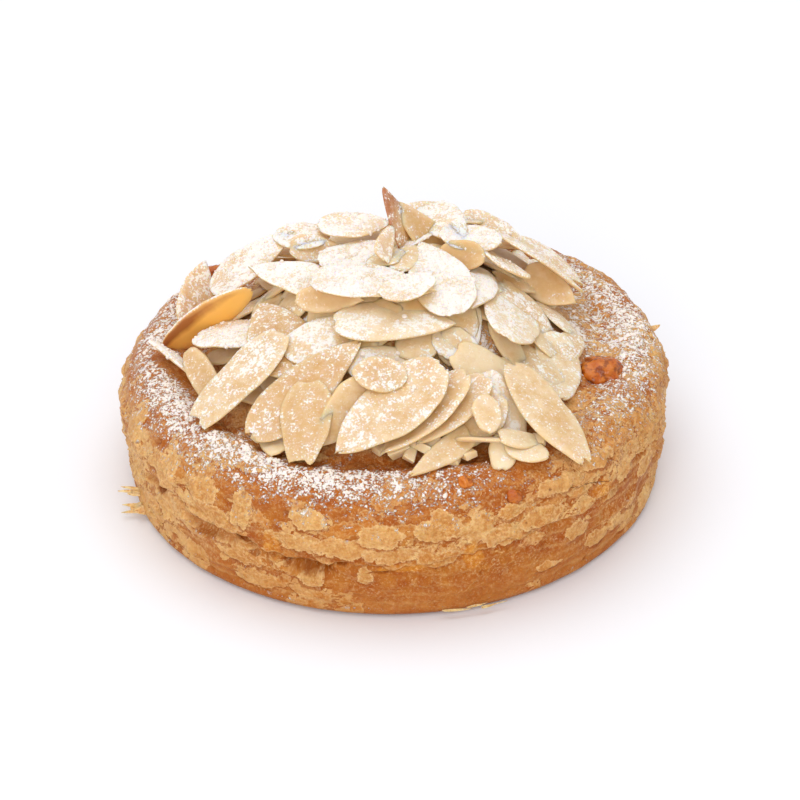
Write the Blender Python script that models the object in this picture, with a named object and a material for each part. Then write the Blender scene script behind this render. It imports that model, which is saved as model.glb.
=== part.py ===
"""Almond croissant: a round, drum-shaped laminated pastry under a heap of flaked almonds.

The pastry is one closed body: a turned dough drum with a flaky, cracked side, a raised rim, and a
dome in the middle. Every almond flake that lies on it is a thin warped slice, set down in turn on
whatever lies below it, and one Boolean union bakes the whole heap onto the dough.

Run with blender --background --python part.py, or from Blender's text editor.
"""

import math
import random
from collections import namedtuple
from itertools import combinations

import bmesh
import bpy
import numpy as np
from mathutils import Matrix, Vector, noise

MM = 0.001

# The dough drum. Heights are above the flat foot, radii are from the axis.
FOOT_RADIUS = 45.6 * MM
HEEL_RADIUS = 48.9 * MM
HEEL_HEIGHT = 1.9 * MM
BELLY_RADIUS = 50.0 * MM
BELLY_HEIGHT = 13.4 * MM
RIM_RADIUS = 42.0 * MM
RIM_HEIGHT = 25.8 * MM
GROOVE_RADIUS = 38.0 * MM
GROOVE_HEIGHT = 24.9 * MM
DOME_HEIGHT = 42.6 * MM
DOME_FULLNESS = 1.6

OVALNESS = 0.010
LEAN_PER_METRE = 0.6

# The crack that runs round the side, under the ragged upper skin.
LEDGE_HEIGHT = 12.6 * MM
LEDGE_RISE = 2.2 * MM
LEDGE_DEPTH = 1.5 * MM
LEDGE_BAND = 1.0 * MM
CLIMB_ANGLE = -0.45
CLIMB_SPREAD = 0.55
LAYER_RELIEF = 0.75 * MM
TOP_RELIEF = 0.5 * MM
BROAD_BUMP = 9.0 * MM
SMALL_BUMP = 4.0 * MM

SEGMENTS = 70
RINGS_BELOW_LEDGE = 4
RINGS_ABOVE_LEDGE = 6
RINGS_ON_TOP = 7

# The almond flakes.
FLAKE_THICKNESS = 0.85 * MM
FLAKE_ARCH = 0.045
FLAKE_ROWS = 4
SINK = 0.35 * MM
HEIGHT_CELL = 0.5 * MM
HEIGHT_HALF_SIDE = 55.0 * MM
SEED = 11

# Lumps of caramelised sugar baked onto the rim: place, size across, height above the rim.
LUMPS = (
    (37.0, -8.5, 8.4, 2.6),
    (12.0, -43.3, 2.6, 1.0),
    (20.3, -43.0, 3.0, 1.1),
    (-34.0, 27.0, 4.2, 1.4),
)

# Kinds of flake: how blunt the base and the tip are, and where a broken slice is cut off.
Kind = namedtuple("Kind", "base tip cut_base cut_tip")
ALMOND = Kind(0.50, 0.80, 0.015, 1.0)
OVAL = Kind(0.50, 0.55, 0.01, 0.99)
BLUNT = Kind(0.45, 0.70, 0.03, 0.86)
SHARD = Kind(0.50, 0.95, 0.10, 0.97)

# A flake: its middle in plan in millimetres, the way its tip points in degrees, its length and
# width in millimetres. A flake without a tilt lies on what is under it. A tilt is (pitch, roll,
# height): the tip raised by pitch, then the left-hand long edge raised by roll, both in degrees
# from level, and the height of the flake's middle in millimetres.
Flake = namedtuple("Flake", "x y heading length width kind tilt", defaults=(ALMOND, None))

LOWER_FLAKES = (
    Flake(-37.0, -4.5, -58, 21, 9, ALMOND, (-8, -28, 27.2)),
    Flake(-33.4, -13.5, -62, 13, 6, BLUNT, (-22, 42, 27.5)),
    Flake(-27.0, -8.0, -30, 20, 11),
    Flake(-36.5, 12.0, 75, 18, 8, ALMOND, (52, 30, 30.5)),
    Flake(-21.0, -30.8, -75, 10, 6, BLUNT),
    Flake(-20.5, -12.5, 110, 20, 12),
    Flake(-11.5, -16.5, 5, 17, 10, OVAL),
    Flake(1.0, -23.0, -8, 19, 10, OVAL),
    Flake(10.5, -16.5, 62, 18, 9, OVAL),
    Flake(29.0, -12.5, -92, 17, 9.5, OVAL),
    Flake(17.5, -21.5, 165, 18, 10.5, BLUNT),
    Flake(18.0, -28.0, -60, 14, 9, BLUNT),
    Flake(13.2, -31.8, -139, 15, 8.5),
    Flake(18.5, -38.0, -95, 8.5, 5.5, BLUNT),
    Flake(21.3, -35.0, 25, 8, 4.5, BLUNT),
    Flake(22.8, -37.0, -15, 8, 7, OVAL, (-12, -30, 27.6)),
    Flake(8.0, -38.6, -139, 14, 5, SHARD),
    Flake(15.6, -35.5, 2, 12, 7, ALMOND, (0, -30, 28.6)),
)

MIDDLE_FLAKES = (
    Flake(-15.5, -25.5, 33, 25, 10.5),
    Flake(-27.2, -19.3, -141, 22, 9.5),
    Flake(-15.3, -32.3, -96, 15.5, 9, BLUNT),
    Flake(-8.5, -31.3, -137, 16, 7.5, ALMOND, (-30, -48, 31.4)),
    Flake(9.8, -31.0, -135, 18, 8.5),
    Flake(5.0, -32.4, -138, 21, 9.5),
    Flake(-1.0, -33.3, -141, 24.5, 12),
    Flake(-2.6, -27.6, 172, 9.5, 7, OVAL),
    Flake(15.8, -33.6, -80, 7.5, 5, OVAL),
    Flake(26.6, -28.6, -56, 23, 10),
    Flake(0.0, -15.3, 2, 21.5, 10),
    Flake(20.6, -6.8, 82, 20, 12, OVAL),
    Flake(28.0, 6.5, -28, 11, 7, ALMOND, (-22, 38, 34.0)),
    Flake(28.5, 15.0, -22, 14.5, 9, ALMOND, (-30, 2, 35.5)),
    Flake(-17.6, -2.5, 158, 17.5, 10, ALMOND, (0, -12, 40.3)),
    Flake(-11.5, -11.0, -8, 12, 5, ALMOND, (4, 55, 42.0)),
    Flake(13.7, -3.6, -93, 17, 9),
    Flake(25.8, 9.0, -12, 20, 9, ALMOND, (-33, -6, 38.0)),
    Flake(20.0, 3.0, -14, 10, 6.5, ALMOND, (-27, -20, 41.0)),
)

UPPER_FLAKES = (
    Flake(-33.8, -0.6, -10, 21.5, 8.5, ALMOND, (33, 100, 32.2)),
    Flake(-26.0, 9.5, 17, 18.5, 10.5, ALMOND, (31, 2, 37.6)),
    Flake(-16.9, 11.0, -28, 11, 8, OVAL, (6, 8, 42.0)),
    Flake(-14.5, 7.0, -6, 9, 5.5, BLUNT, (-6, 50, 41.5)),
    Flake(-7.0, 3.0, 8, 14, 9, OVAL),
    Flake(7.6, -4.5, 107, 21, 11.5),
    Flake(-4.0, -7.6, -8, 22, 12),
    Flake(2.2, -11.2, 36, 11.5, 6.5, OVAL),
    Flake(-7.5, 11.0, 4, 13, 8.5, OVAL, (0, 2, 44.5)),
    Flake(12.0, 2.5, -12, 8.5, 6, OVAL, (0, 42, 43.0)),
    Flake(13.6, 7.0, -14, 11.5, 9, OVAL, (-4, 2, 44.2)),
    Flake(18.2, 16.5, -26, 14, 9, ALMOND, (-14, 4, 39.6)),
    Flake(5.0, 15.5, 18, 13, 9.5, OVAL, (4, 22, 42.6)),
    Flake(9.0, 12.0, -62, 15, 8, ALMOND, (-4, 12, 43.7)),
    Flake(-1.4, 2.0, 76, 9, 4.5, SHARD, (12, 48, 46.0)),
    Flake(5.2, 9.0, 168, 15, 7, ALMOND, (48, -24, 44.0)),
    Flake(1.4, 8.0, 176, 17, 7.5, SHARD, (67, 8, 45.6)),
)

# The side that faces away has the same cover, laid by rule: rows of flakes that overlap.
BACK_ROWS = (
    (34.0, 7, 34.0, 144.0),
    (26.0, 5, 40.0, 138.0),
    (17.0, 2, 70.0, 115.0),
)
BACK_LENGTH = (18.0, 23.0)
BACK_WIDTH = (8.5, 11.5)
BACK_SWING = 70.0
BACK_JITTER = 2.2


def clear_scene():
    for old in list(bpy.data.objects):
        bpy.data.objects.remove(old, do_unlink=True)


def surface_material(name, colour, roughness):
    made = bpy.data.materials.new(name)
    made.use_nodes = True
    shader = made.node_tree.nodes["Principled BSDF"]
    shader.inputs["Base Color"].default_value = (*colour, 1.0)
    shader.inputs["Roughness"].default_value = roughness
    shader.inputs["Metallic"].default_value = 0.0
    return made


# --- the dough -------------------------------------------------------------------------------


def dome_height(radius):
    """Height of the smooth top inside the groove behind the rim."""
    inside = max(0.0, 1.0 - (radius / GROOVE_RADIUS) ** 2)
    return GROOVE_HEIGHT + (DOME_HEIGHT - GROOVE_HEIGHT) * inside**DOME_FULLNESS


def top_height(radius):
    """Height of the smooth top at a radius: shoulder, rim, groove and dome."""
    if radius <= GROOVE_RADIUS:
        return dome_height(radius)
    if radius <= RIM_RADIUS:
        share = (radius - GROOVE_RADIUS) / (RIM_RADIUS - GROOVE_RADIUS)
        return GROOVE_HEIGHT + (RIM_HEIGHT - GROOVE_HEIGHT) * 0.5 * (1.0 - math.cos(math.pi * share))
    share = (radius - RIM_RADIUS) / (BELLY_RADIUS - RIM_RADIUS)
    return RIM_HEIGHT - (RIM_HEIGHT - BELLY_HEIGHT) * (1.0 - math.sqrt(max(0.0, 1.0 - share * share)))


def side_radius(height):
    """Radius of the smooth side: rounded heel, slow belly, rounded shoulder up to the rim."""
    if height <= HEEL_HEIGHT:
        share = 1.0 - height / HEEL_HEIGHT
        return HEEL_RADIUS - (HEEL_RADIUS - FOOT_RADIUS) * (1.0 - math.sqrt(1.0 - share * share))
    if height <= BELLY_HEIGHT:
        share = (BELLY_HEIGHT - height) / (BELLY_HEIGHT - HEEL_HEIGHT)
        return BELLY_RADIUS - (BELLY_RADIUS - HEEL_RADIUS) * share**1.6
    share = min(1.0, (height - BELLY_HEIGHT) / (RIM_HEIGHT - BELLY_HEIGHT))
    return RIM_RADIUS + (BELLY_RADIUS - RIM_RADIUS) * (1.0 - share**3.0) ** (1.0 / 1.9)


def ledge_height(angle):
    """Height of the crack round the side; it wanders, and it climbs on the right-hand side."""
    wander = 0.5 * math.sin(2.0 * angle + 0.6) + 0.35 * math.sin(5.0 * angle + 1.9)
    from_right = math.remainder(angle - CLIMB_ANGLE, 2.0 * math.pi)
    climb = 2.6 * math.exp(-((from_right / CLIMB_SPREAD) ** 2))
    return LEDGE_HEIGHT + LEDGE_RISE * (wander + climb)


def ledge_strength(angle):
    """How far open the crack is, from 0 where the skin is whole to 1 where it gapes."""
    around = Vector((2.3 * math.cos(angle), 2.3 * math.sin(angle), 4.0))
    return min(1.0, max(0.0, 0.55 + 1.5 * noise.noise(around)))


def layer_relief(angle, height):
    """Flaky layers of the side: bumps that are long round the drum and short in height."""
    around = Vector((5.0 * math.cos(angle), 5.0 * math.sin(angle), height / (3.2 * MM)))
    fine = Vector((11.0 * math.cos(angle), 11.0 * math.sin(angle), height / (1.9 * MM)))
    return LAYER_RELIEF * (0.7 * noise.noise(around) + 0.45 * noise.noise(fine))


def oval(angle):
    return 1.0 + OVALNESS * math.sin(2.0 * angle)


def lean(x, height):
    return height * (1.0 + LEAN_PER_METRE * x)


def side_point(angle, height, crack):
    """A point of the side; crack runs from 0, off the crack, to 1, at its bottom."""
    fade = min(1.0, height / (4.0 * MM))
    radius = side_radius(height) + fade * layer_relief(angle, height)
    radius -= LEDGE_DEPTH * crack * ledge_strength(angle)
    radius *= oval(angle)
    x = radius * math.cos(angle)
    return Vector((x, radius * math.sin(angle), lean(x, height)))


def top_point(angle, radius):
    """A point of the top, from the rim inwards."""
    x = radius * oval(angle) * math.cos(angle)
    y = radius * oval(angle) * math.sin(angle)
    return Vector((x, y, dough_top(x, y)))


def dough_top(x, y):
    """Height of the dough's top under a point of the plan."""
    angle = math.atan2(y, x)
    radius = math.hypot(x, y) / oval(angle)
    broad = noise.noise(Vector((x, y, 0.0)) / BROAD_BUMP)
    small = noise.noise(Vector((x, y, 0.01)) / SMALL_BUMP)
    return lean(x, top_height(radius) + TOP_RELIEF * (broad + 0.5 * small))


def side_heights(angle):
    """Ring heights from the heel to the rim, with four of them on the crack's edges and bottom."""
    crack = ledge_height(angle)
    lower_edge = crack - LEDGE_BAND
    upper_edge = crack + LEDGE_BAND
    highest = RIM_HEIGHT - 0.4 * MM
    rings = [(0.30 * HEEL_HEIGHT, 0.0)]
    for k in range(RINGS_BELOW_LEDGE + 1):
        rings.append((HEEL_HEIGHT + (lower_edge - HEEL_HEIGHT) * k / RINGS_BELOW_LEDGE, 0.0))
    rings += [(crack - 0.35 * LEDGE_BAND, 1.0), (crack + 0.25 * LEDGE_BAND, 0.9)]
    for k in range(RINGS_ABOVE_LEDGE + 1):
        share = math.sin(0.5 * math.pi * k / RINGS_ABOVE_LEDGE)
        rings.append((upper_edge + (highest - upper_edge) * share, 0.0))
    return rings


def ring_points(angle):
    """All points of one spoke of the dough, from the foot's edge up and over to near the middle."""
    foot = FOOT_RADIUS * oval(angle)
    points = [Vector((foot * math.cos(angle), foot * math.sin(angle), 0.0))]
    points += [side_point(angle, height, crack) for height, crack in side_heights(angle)]
    points += [top_point(angle, RIM_RADIUS * (1.0 - k / (RINGS_ON_TOP + 1))) for k in range(RINGS_ON_TOP + 1)]
    return points


def build_dough(material):
    """The drum: one closed body with a flat foot."""
    build = bmesh.new()
    spokes = []
    for k in range(SEGMENTS):
        spokes.append([build.verts.new(p) for p in ring_points(2.0 * math.pi * k / SEGMENTS)])
    foot_middle = build.verts.new((0.0, 0.0, 0.0))
    crown = build.verts.new((0.0, 0.0, dough_top(0.0, 0.0)))
    for k, spoke in enumerate(spokes):
        after = spokes[(k + 1) % SEGMENTS]
        build.faces.new((foot_middle, after[0], spoke[0]))
        for low, high, high_after, low_after in zip(spoke, spoke[1:], after[1:], after):
            build.faces.new((low, low_after, high_after, high))
        build.faces.new((spoke[-1], after[-1], crown))
    bmesh.ops.triangulate(build, faces=build.faces[:])
    return finished_object(build, "almond_croissant", material)


def finished_object(build, name, material):
    mesh = bpy.data.meshes.new(name)
    build.to_mesh(mesh)
    build.free()
    mesh.materials.append(material)
    made = bpy.data.objects.new(name, mesh)
    bpy.context.scene.collection.objects.link(made)
    return made


# --- the almond flakes -----------------------------------------------------------------------


def half_width(kind, share):
    """Half the width of a slice, from 0 to 0.5, at a share of its length from base to tip."""
    along = kind.cut_base + (kind.cut_tip - kind.cut_base) * share
    widest = kind.base / (kind.base + kind.tip)
    peak = widest**kind.base * (1.0 - widest) ** kind.tip
    return 0.5 * along**kind.base * max(0.0, 1.0 - along) ** kind.tip / peak


def row_shares(rows):
    """Where the cross rows of a slice lie: closer together towards both ends."""
    return [0.5 - 0.5 * math.cos(math.pi * k / (rows + 1)) for k in range(rows + 2)]


def warp(flake, arch, along, across):
    """How far a slice's middle surface is off flat, in metres."""
    bow = arch * flake.length * (1.0 - (2.0 * along - 1.0) ** 2)
    dish = -0.6 * arch * flake.width * (2.0 * across) ** 2
    return (bow + dish) * MM


def slice_point(flake, arch, along, across, side):
    """A point of a slice in its own frame; side is +1 on top and -1 underneath."""
    u = (along - 0.5) * flake.length * MM
    v = across * flake.width * MM
    return Vector((u, v, warp(flake, arch, along, across) + 0.5 * side * FLAKE_THICKNESS))


def slice_body(flake, arch, rows):
    """The closed body of one slice: top and bottom skins of three columns, joined by its edge."""
    build = bmesh.new()
    skins = {}
    for side in (1, -1):
        skin = []
        for along in row_shares(rows):
            half = half_width(flake.kind, along)
            columns = (-half, 0.0, half) if half > 0.02 else (0.0,)
            skin.append([build.verts.new(slice_point(flake, arch, along, v, side)) for v in columns])
        skins[side] = skin
        for row, after in zip(skin, skin[1:]):
            join_rows(build, row, after, side)
    close_edge(build, skins)
    return build


def join_rows(build, row, after, side):
    """Faces between two cross rows, of which an end row may be a single point."""
    if len(row) == 1 or len(after) == 1:
        point, line = (row[0], after) if len(row) == 1 else (after[0], row)
        fans = [(point, a, b) for a, b in zip(line, line[1:])]
        turned = side if len(row) == 1 else -side
    else:
        fans = [(a, d, c, b) for a, b, c, d in zip(row, row[1:], after[1:], after)]
        turned = side
    for corners in fans:
        build.faces.new(corners if turned < 0 else tuple(reversed(corners)))


def rim_loop(skin):
    """The outline of a skin in order: up one long edge, over the tip, and back down the other."""
    left = [row[-1] for row in skin]
    right = [row[0] for row in reversed(skin)]
    tip = [vert for vert in reversed(skin[-1][1:-1])]
    base = skin[0][1:-1]
    return list(dict.fromkeys(left + tip + right + base))


def close_edge(build, skins):
    top = rim_loop(skins[1])
    bottom = rim_loop(skins[-1])
    for k, vert in enumerate(top):
        after = (k + 1) % len(top)
        build.faces.new((vert, top[after], bottom[after], bottom[k]))
    bmesh.ops.recalc_face_normals(build, faces=build.faces[:])


class Heap:
    """Height of everything laid so far, on a square grid over the pastry."""

    def __init__(self):
        count = int(2 * HEIGHT_HALF_SIDE / HEIGHT_CELL) + 1
        self.grid = np.zeros((count, count))
        for i in range(count):
            for j in range(count):
                x = i * HEIGHT_CELL - HEIGHT_HALF_SIDE
                y = j * HEIGHT_CELL - HEIGHT_HALF_SIDE
                if math.hypot(x, y) < 0.985 * BELLY_RADIUS:
                    self.grid[i, j] = dough_top(x, y)

    def cells(self, points):
        limit = self.grid.shape[0] - 1
        index = np.rint((points[:, :2] + HEIGHT_HALF_SIDE) / HEIGHT_CELL).astype(int)
        index = np.clip(index, 0, limit)
        return index[:, 0], index[:, 1]

    def under(self, points):
        return self.grid[self.cells(points)]

    def raise_to(self, points):
        np.maximum.at(self.grid, self.cells(points), points[:, 2])


def slice_samples(flake, arch, side, along_steps, across_steps):
    """Points spread over one skin of a slice, in its own frame."""
    points = []
    for i in range(along_steps):
        along = (i + 0.5) / along_steps
        half = half_width(flake.kind, along)
        for j in range(across_steps):
            across = half * (2.0 * j / (across_steps - 1) - 1.0)
            points.append(slice_point(flake, arch, along, across, side))
    return np.array(points)


def resting_slopes(flake, arch, heap):
    """Slopes in x and y of the plane that a slice comes to rest in, on three points below it."""
    turn = math.radians(flake.heading)
    local = slice_samples(flake, arch, -1, 7, 4)
    x = flake.x * MM + local[:, 0] * math.cos(turn) - local[:, 1] * math.sin(turn)
    y = flake.y * MM + local[:, 0] * math.sin(turn) + local[:, 1] * math.cos(turn)
    z = heap.under(np.stack([x, y], axis=1)) - local[:, 2]
    first, second, third = np.array(list(combinations(range(len(x)), 3))).T
    ux, uy, uz = x[second] - x[first], y[second] - y[first], z[second] - z[first]
    vx, vy, vz = x[third] - x[first], y[third] - y[first], z[third] - z[first]
    spread = ux * vy - uy * vx
    wide = np.abs(spread) > (1.5 * MM) ** 2
    spread = np.where(wide, spread, 1.0)
    slope_x = (uz * vy - uy * vz) / spread
    slope_y = (ux * vz - uz * vx) / spread
    level = z[first] - slope_x * x[first] - slope_y * y[first]
    highest = np.max(z[None, :] - slope_x[:, None] * x - slope_y[:, None] * y, axis=1)
    clear = wide & (highest <= level + 0.001 * MM)
    middle = level + slope_x * flake.x * MM + slope_y * flake.y * MM
    best = int(np.argmin(np.where(clear, middle, np.inf)))
    return slope_x[best], slope_y[best]


def slice_turn(flake, arch, heap):
    """Rotation of a slice: as it rests on the heap, or as its own tilt says."""
    turn = math.radians(flake.heading)
    if flake.tilt is None:
        slope_x, slope_y = resting_slopes(flake, arch, heap)
        along = Vector((math.cos(turn), math.sin(turn), slope_x * math.cos(turn) + slope_y * math.sin(turn)))
        along.normalize()
        up = Vector((-slope_x, -slope_y, 1.0)).normalized()
        return Matrix((along, up.cross(along), up)).transposed()
    pitch, roll = (math.radians(angle) for angle in flake.tilt[:2])
    return Matrix.Rotation(turn, 3, "Z") @ Matrix.Rotation(-pitch, 3, "Y") @ Matrix.Rotation(roll, 3, "X")


def settle(flake, arch, heap):
    """World matrix of a slice once it lies on the heap, pressed in a little, or at its own height."""
    turn = slice_turn(flake, arch, heap)
    if flake.tilt is None:
        low = slice_samples(flake, arch, -1, 22, 11) @ np.array(turn).T
        low += np.array([flake.x * MM, flake.y * MM, 0.0])
        height = float(np.max(heap.under(low) - low[:, 2])) - SINK
    else:
        height = flake.tilt[2] * MM
    top = slice_samples(flake, arch, 1, 60, 30) @ np.array(turn).T
    top += np.array([flake.x * MM, flake.y * MM, height])
    heap.raise_to(top)
    return Matrix.Translation((flake.x * MM, flake.y * MM, height)) @ turn.to_4x4()


def back_flakes(draw):
    """Flakes on the side that faces away: rings of them, tips turned outwards."""
    laid = []
    for radius, count, start, end in BACK_ROWS:
        for k in range(count):
            angle = math.radians(start + (end - start) * k / (count - 1))
            x = radius * 0.92 * math.cos(angle) + draw.uniform(-BACK_JITTER, BACK_JITTER)
            y = radius * 0.92 * math.sin(angle) + draw.uniform(-BACK_JITTER, BACK_JITTER)
            heading = math.degrees(angle) + draw.uniform(-BACK_SWING, BACK_SWING)
            kind = draw.choice((ALMOND, ALMOND, OVAL, BLUNT))
            laid.append(Flake(x, y, heading, draw.uniform(*BACK_LENGTH), draw.uniform(*BACK_WIDTH), kind))
    return laid


def lay_flakes(material):
    """Every flake as its own closed object, each set down on those before it."""
    draw = random.Random(SEED)
    heap = Heap()
    objects = []
    for flake in list(LOWER_FLAKES) + back_flakes(draw) + list(MIDDLE_FLAKES) + list(UPPER_FLAKES):
        arch = draw.uniform(-FLAKE_ARCH, FLAKE_ARCH)
        build = slice_body(flake, arch, FLAKE_ROWS)
        build.transform(settle(flake, arch, heap))
        bmesh.ops.triangulate(build, faces=build.faces[:])
        objects.append(finished_object(build, f"flake_{len(objects):02d}", material))
    return objects


def build_lumps(material):
    """Caramel lumps on the rim: flattened low balls, half sunk in the dough."""
    objects = []
    for x, y, across, height in LUMPS:
        build = bmesh.new()
        bmesh.ops.create_icosphere(build, subdivisions=2, radius=1.0)
        size = Matrix.Diagonal((0.5 * across * MM, 0.42 * across * MM, height * MM, 1.0))
        seat = dough_top(x * MM, y * MM)
        build.transform(Matrix.Translation((x * MM, y * MM, seat)) @ size)
        objects.append(finished_object(build, f"lump_{len(objects)}", material))
    return objects


# --- joining ---------------------------------------------------------------------------------


def bake_together(body, pieces):
    """One Boolean union of every piece onto the body, applied; the pieces are then removed."""
    group = bpy.data.collections.new("toppings")
    bpy.context.scene.collection.children.link(group)
    for piece in pieces:
        bpy.context.scene.collection.objects.unlink(piece)
        group.objects.link(piece)
    union = body.modifiers.new("baked_together", "BOOLEAN")
    union.operation = "UNION"
    union.solver = "EXACT"
    union.operand_type = "COLLECTION"
    union.collection = group
    union.use_self = False
    graph = bpy.context.evaluated_depsgraph_get()
    joined = bpy.data.meshes.new_from_object(body.evaluated_get(graph), depsgraph=graph)
    body.modifiers.remove(union)
    body.data = joined
    for piece in pieces:
        bpy.data.objects.remove(piece, do_unlink=True)
    bpy.data.collections.remove(group)


def keep_outer_skin(body):
    """Drops every shell but the largest: pockets sealed between flakes are filled."""
    build = bmesh.new()
    build.from_mesh(body.data)
    bmesh.ops.remove_doubles(build, verts=build.verts[:], dist=0.004 * MM)
    bmesh.ops.dissolve_degenerate(build, edges=build.edges[:], dist=0.004 * MM)
    bmesh.ops.triangulate(build, faces=build.faces[:])
    shells = []
    waiting = set(build.verts)
    while waiting:
        reached = {waiting.pop()}
        front = list(reached)
        while front:
            for edge in front.pop().link_edges:
                for vert in edge.verts:
                    if vert not in reached:
                        reached.add(vert)
                        front.append(vert)
        waiting -= reached
        shells.append(reached)
    largest = max(shells, key=len)
    loose = [vert for shell in shells if shell is not largest for vert in shell]
    bmesh.ops.delete(build, geom=loose, context="VERTS")
    build.to_mesh(body.data)
    build.free()


def main():
    clear_scene()
    crust = surface_material("baked_crust", (0.55, 0.27, 0.09), 0.55)
    almond = surface_material("toasted_almond", (0.83, 0.63, 0.38), 0.5)
    pastry = build_dough(crust)
    toppings = build_lumps(crust) + lay_flakes(almond)
    bake_together(pastry, toppings)
    keep_outer_skin(pastry)


main()
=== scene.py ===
"""Looks of the almond croissant: crust, almond flakes, sugar, caramel and the stage round them.

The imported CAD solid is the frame. Its node is replaced by pieces of the same form: a crust with
flaky skins, every almond flake laid where the solid has it or close by, grains and clumps of sugar,
lumps of caramel, broken bits of almond and loose slivers of crust.
"""

import math
import random
from collections import namedtuple
from itertools import combinations

import bmesh
import bpy
import numpy as np
from bpy.props import FloatProperty, FloatVectorProperty, IntProperty, PointerProperty
from mathutils import Matrix, Vector, noise
from mathutils.bvhtree import BVHTree


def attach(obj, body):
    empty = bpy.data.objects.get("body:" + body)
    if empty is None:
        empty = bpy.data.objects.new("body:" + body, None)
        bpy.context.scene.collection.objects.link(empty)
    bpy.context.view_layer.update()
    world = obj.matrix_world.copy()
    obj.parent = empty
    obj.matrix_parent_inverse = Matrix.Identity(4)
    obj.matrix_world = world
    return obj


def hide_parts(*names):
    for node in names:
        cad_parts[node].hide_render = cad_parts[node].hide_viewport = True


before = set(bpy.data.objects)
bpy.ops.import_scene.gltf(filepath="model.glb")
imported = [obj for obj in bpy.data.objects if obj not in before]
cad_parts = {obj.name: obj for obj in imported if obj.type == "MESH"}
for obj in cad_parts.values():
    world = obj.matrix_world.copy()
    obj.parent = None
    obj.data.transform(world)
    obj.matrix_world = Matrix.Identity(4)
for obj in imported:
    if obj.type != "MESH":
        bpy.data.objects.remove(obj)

bl_info = {
    "name": "Almond Croissant",
    "version": (1, 0, 0),
    "blender": (4, 5, 0),
    "location": "3D View > Sidebar > Croissant",
    "description": "Dresses the almond croissant: crust, almond flakes, sugar, caramel and stage",
    "category": "Add Mesh",
}

NODE = "almond_croissant"
BODY = "root"
MM = 0.001
# The most triangles of a piece of strewn sugar.
MOST_TRIANGLES = 196000

# --- the form, as the solid has it -------------------------------------------------------------

FOOT_RADIUS = 45.6 * MM
HEEL_RADIUS = 48.9 * MM
HEEL_HEIGHT = 1.9 * MM
BELLY_RADIUS = 50.0 * MM
BELLY_HEIGHT = 13.4 * MM
RIM_RADIUS = 42.0 * MM
RIM_HEIGHT = 25.8 * MM
GROOVE_RADIUS = 38.0 * MM
GROOVE_HEIGHT = 24.9 * MM
DOME_HEIGHT = 42.6 * MM
DOME_FULLNESS = 1.6
OVALNESS = 0.010
LEAN_PER_METRE = 0.6
LEDGE_HEIGHT = 12.6 * MM
LEDGE_RISE = 2.2 * MM
# The ledge climbs round this direction, in radians, and steps up or down at others, given with
# their reach in degrees and how far it steps.
CLIMB_ANGLE = -0.45
CLIMB_SPREAD = 0.55
CLIMB_RISE = 2.6
LEDGE_STEPS = ((-66.0, 12.0, 1.3 * MM), (-92.0, 9.0, -1.0 * MM))
# How raggedly the crack's upper edge is torn.
LEDGE_TORN = 5.0 * MM
LAYER_RELIEF = 0.75 * MM
# Bumps of the side's broad layers: how closely they follow each other round the drum, how tall they
# are and their share of the relief.
LAYER_BUMPS = ((5.0, 3.2 * MM, 0.7), (11.0, 1.9 * MM, 0.45))
# Heights over which the layers fade out, at the foot and under the rim.
LAYERS_FADE_LOW = 4.0 * MM
LAYERS_FADE_HIGH = 2.5 * MM
# The top's unevenness fades in from the shoulder's height over its reach.
SHOULDER_HEIGHT = 22.0 * MM
SHOULDER_REACH = 3.8 * MM
TOP_RELIEF = 0.5 * MM
BROAD_BUMP = 9.0 * MM
SMALL_BUMP = 4.0 * MM

# Rings of points: how many lie under the foot, how fine the path is before rings are picked from
# it, where the heap hides them and how many times further apart they lie there.
FOOT_RINGS = 8
SIDE_STEPS = 1500
TOP_STEPS = 1200
HEAP_EDGE = 35.0 * MM
HEAP_GAP = 3.2

# Point values from which an almond's colours are worked out: distance from the outline in
# millimetres, how toasted, its own tone, how much sugar, how much syrup and how burnt.
ALMOND_VALUES = ("margin", "toast", "tone", "sugared", "amber", "burn")
FLAKE_THICKNESS = 0.85 * MM
FLAKE_ARCH = 0.045
BIT_ARCH = 0.03
# How uneven a slice is, as shares of its width or length: its outline's waves and nicks, the
# jags and fine jags of its ends, the deepest notch of a blunt tip, and its twist.
OUTLINE_WAVE = 0.13
OUTLINE_NICK = 0.04
END_JAG = 0.05
END_FINE_JAG = 0.03
DEEPEST_NOTCH = 0.10
MOST_TWIST = 0.06
# How deep a slice is pressed into what it lies on, and the grid on which the heap's height is
# kept while the flakes are laid.
SINK = 0.35 * MM
HEIGHT_CELL = 0.5 * MM
HEIGHT_HALF_SIDE = 55.0 * MM
SEED = 11

# Lumps of caramelised sugar baked onto the rim: place, size across and height above the rim, in
# millimetres, and how dark they are baked, from 0 to 1.
LUMPS = (
    (37.0, -8.5, 8.4, 2.6, 0.35),
    (12.0, -43.3, 2.6, 1.3, 0.0),
    (20.3, -43.0, 3.0, 1.4, 0.55),
    (-34.0, 27.0, 3.4, 0.9, 0.5),
)
# How uneven the lumps are, as shares of their size: broad swells and small bumps.
LUMP_SWELL = 0.22
LUMP_BUMP = 0.10

# Outline of a slice: how blunt its base and its tip are, and the shares of the whole outline at
# which the slice starts and ends.
Kind = namedtuple("Kind", "base tip cut_base cut_tip")
ALMOND = Kind(0.50, 0.80, 0.015, 1.0)
OVAL = Kind(0.50, 0.55, 0.01, 0.99)
BLUNT = Kind(0.45, 0.70, 0.03, 0.86)
SHARD = Kind(0.50, 0.95, 0.10, 0.97)
SPLIT = Kind(0.50, 0.74, 0.015, 0.94)

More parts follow.
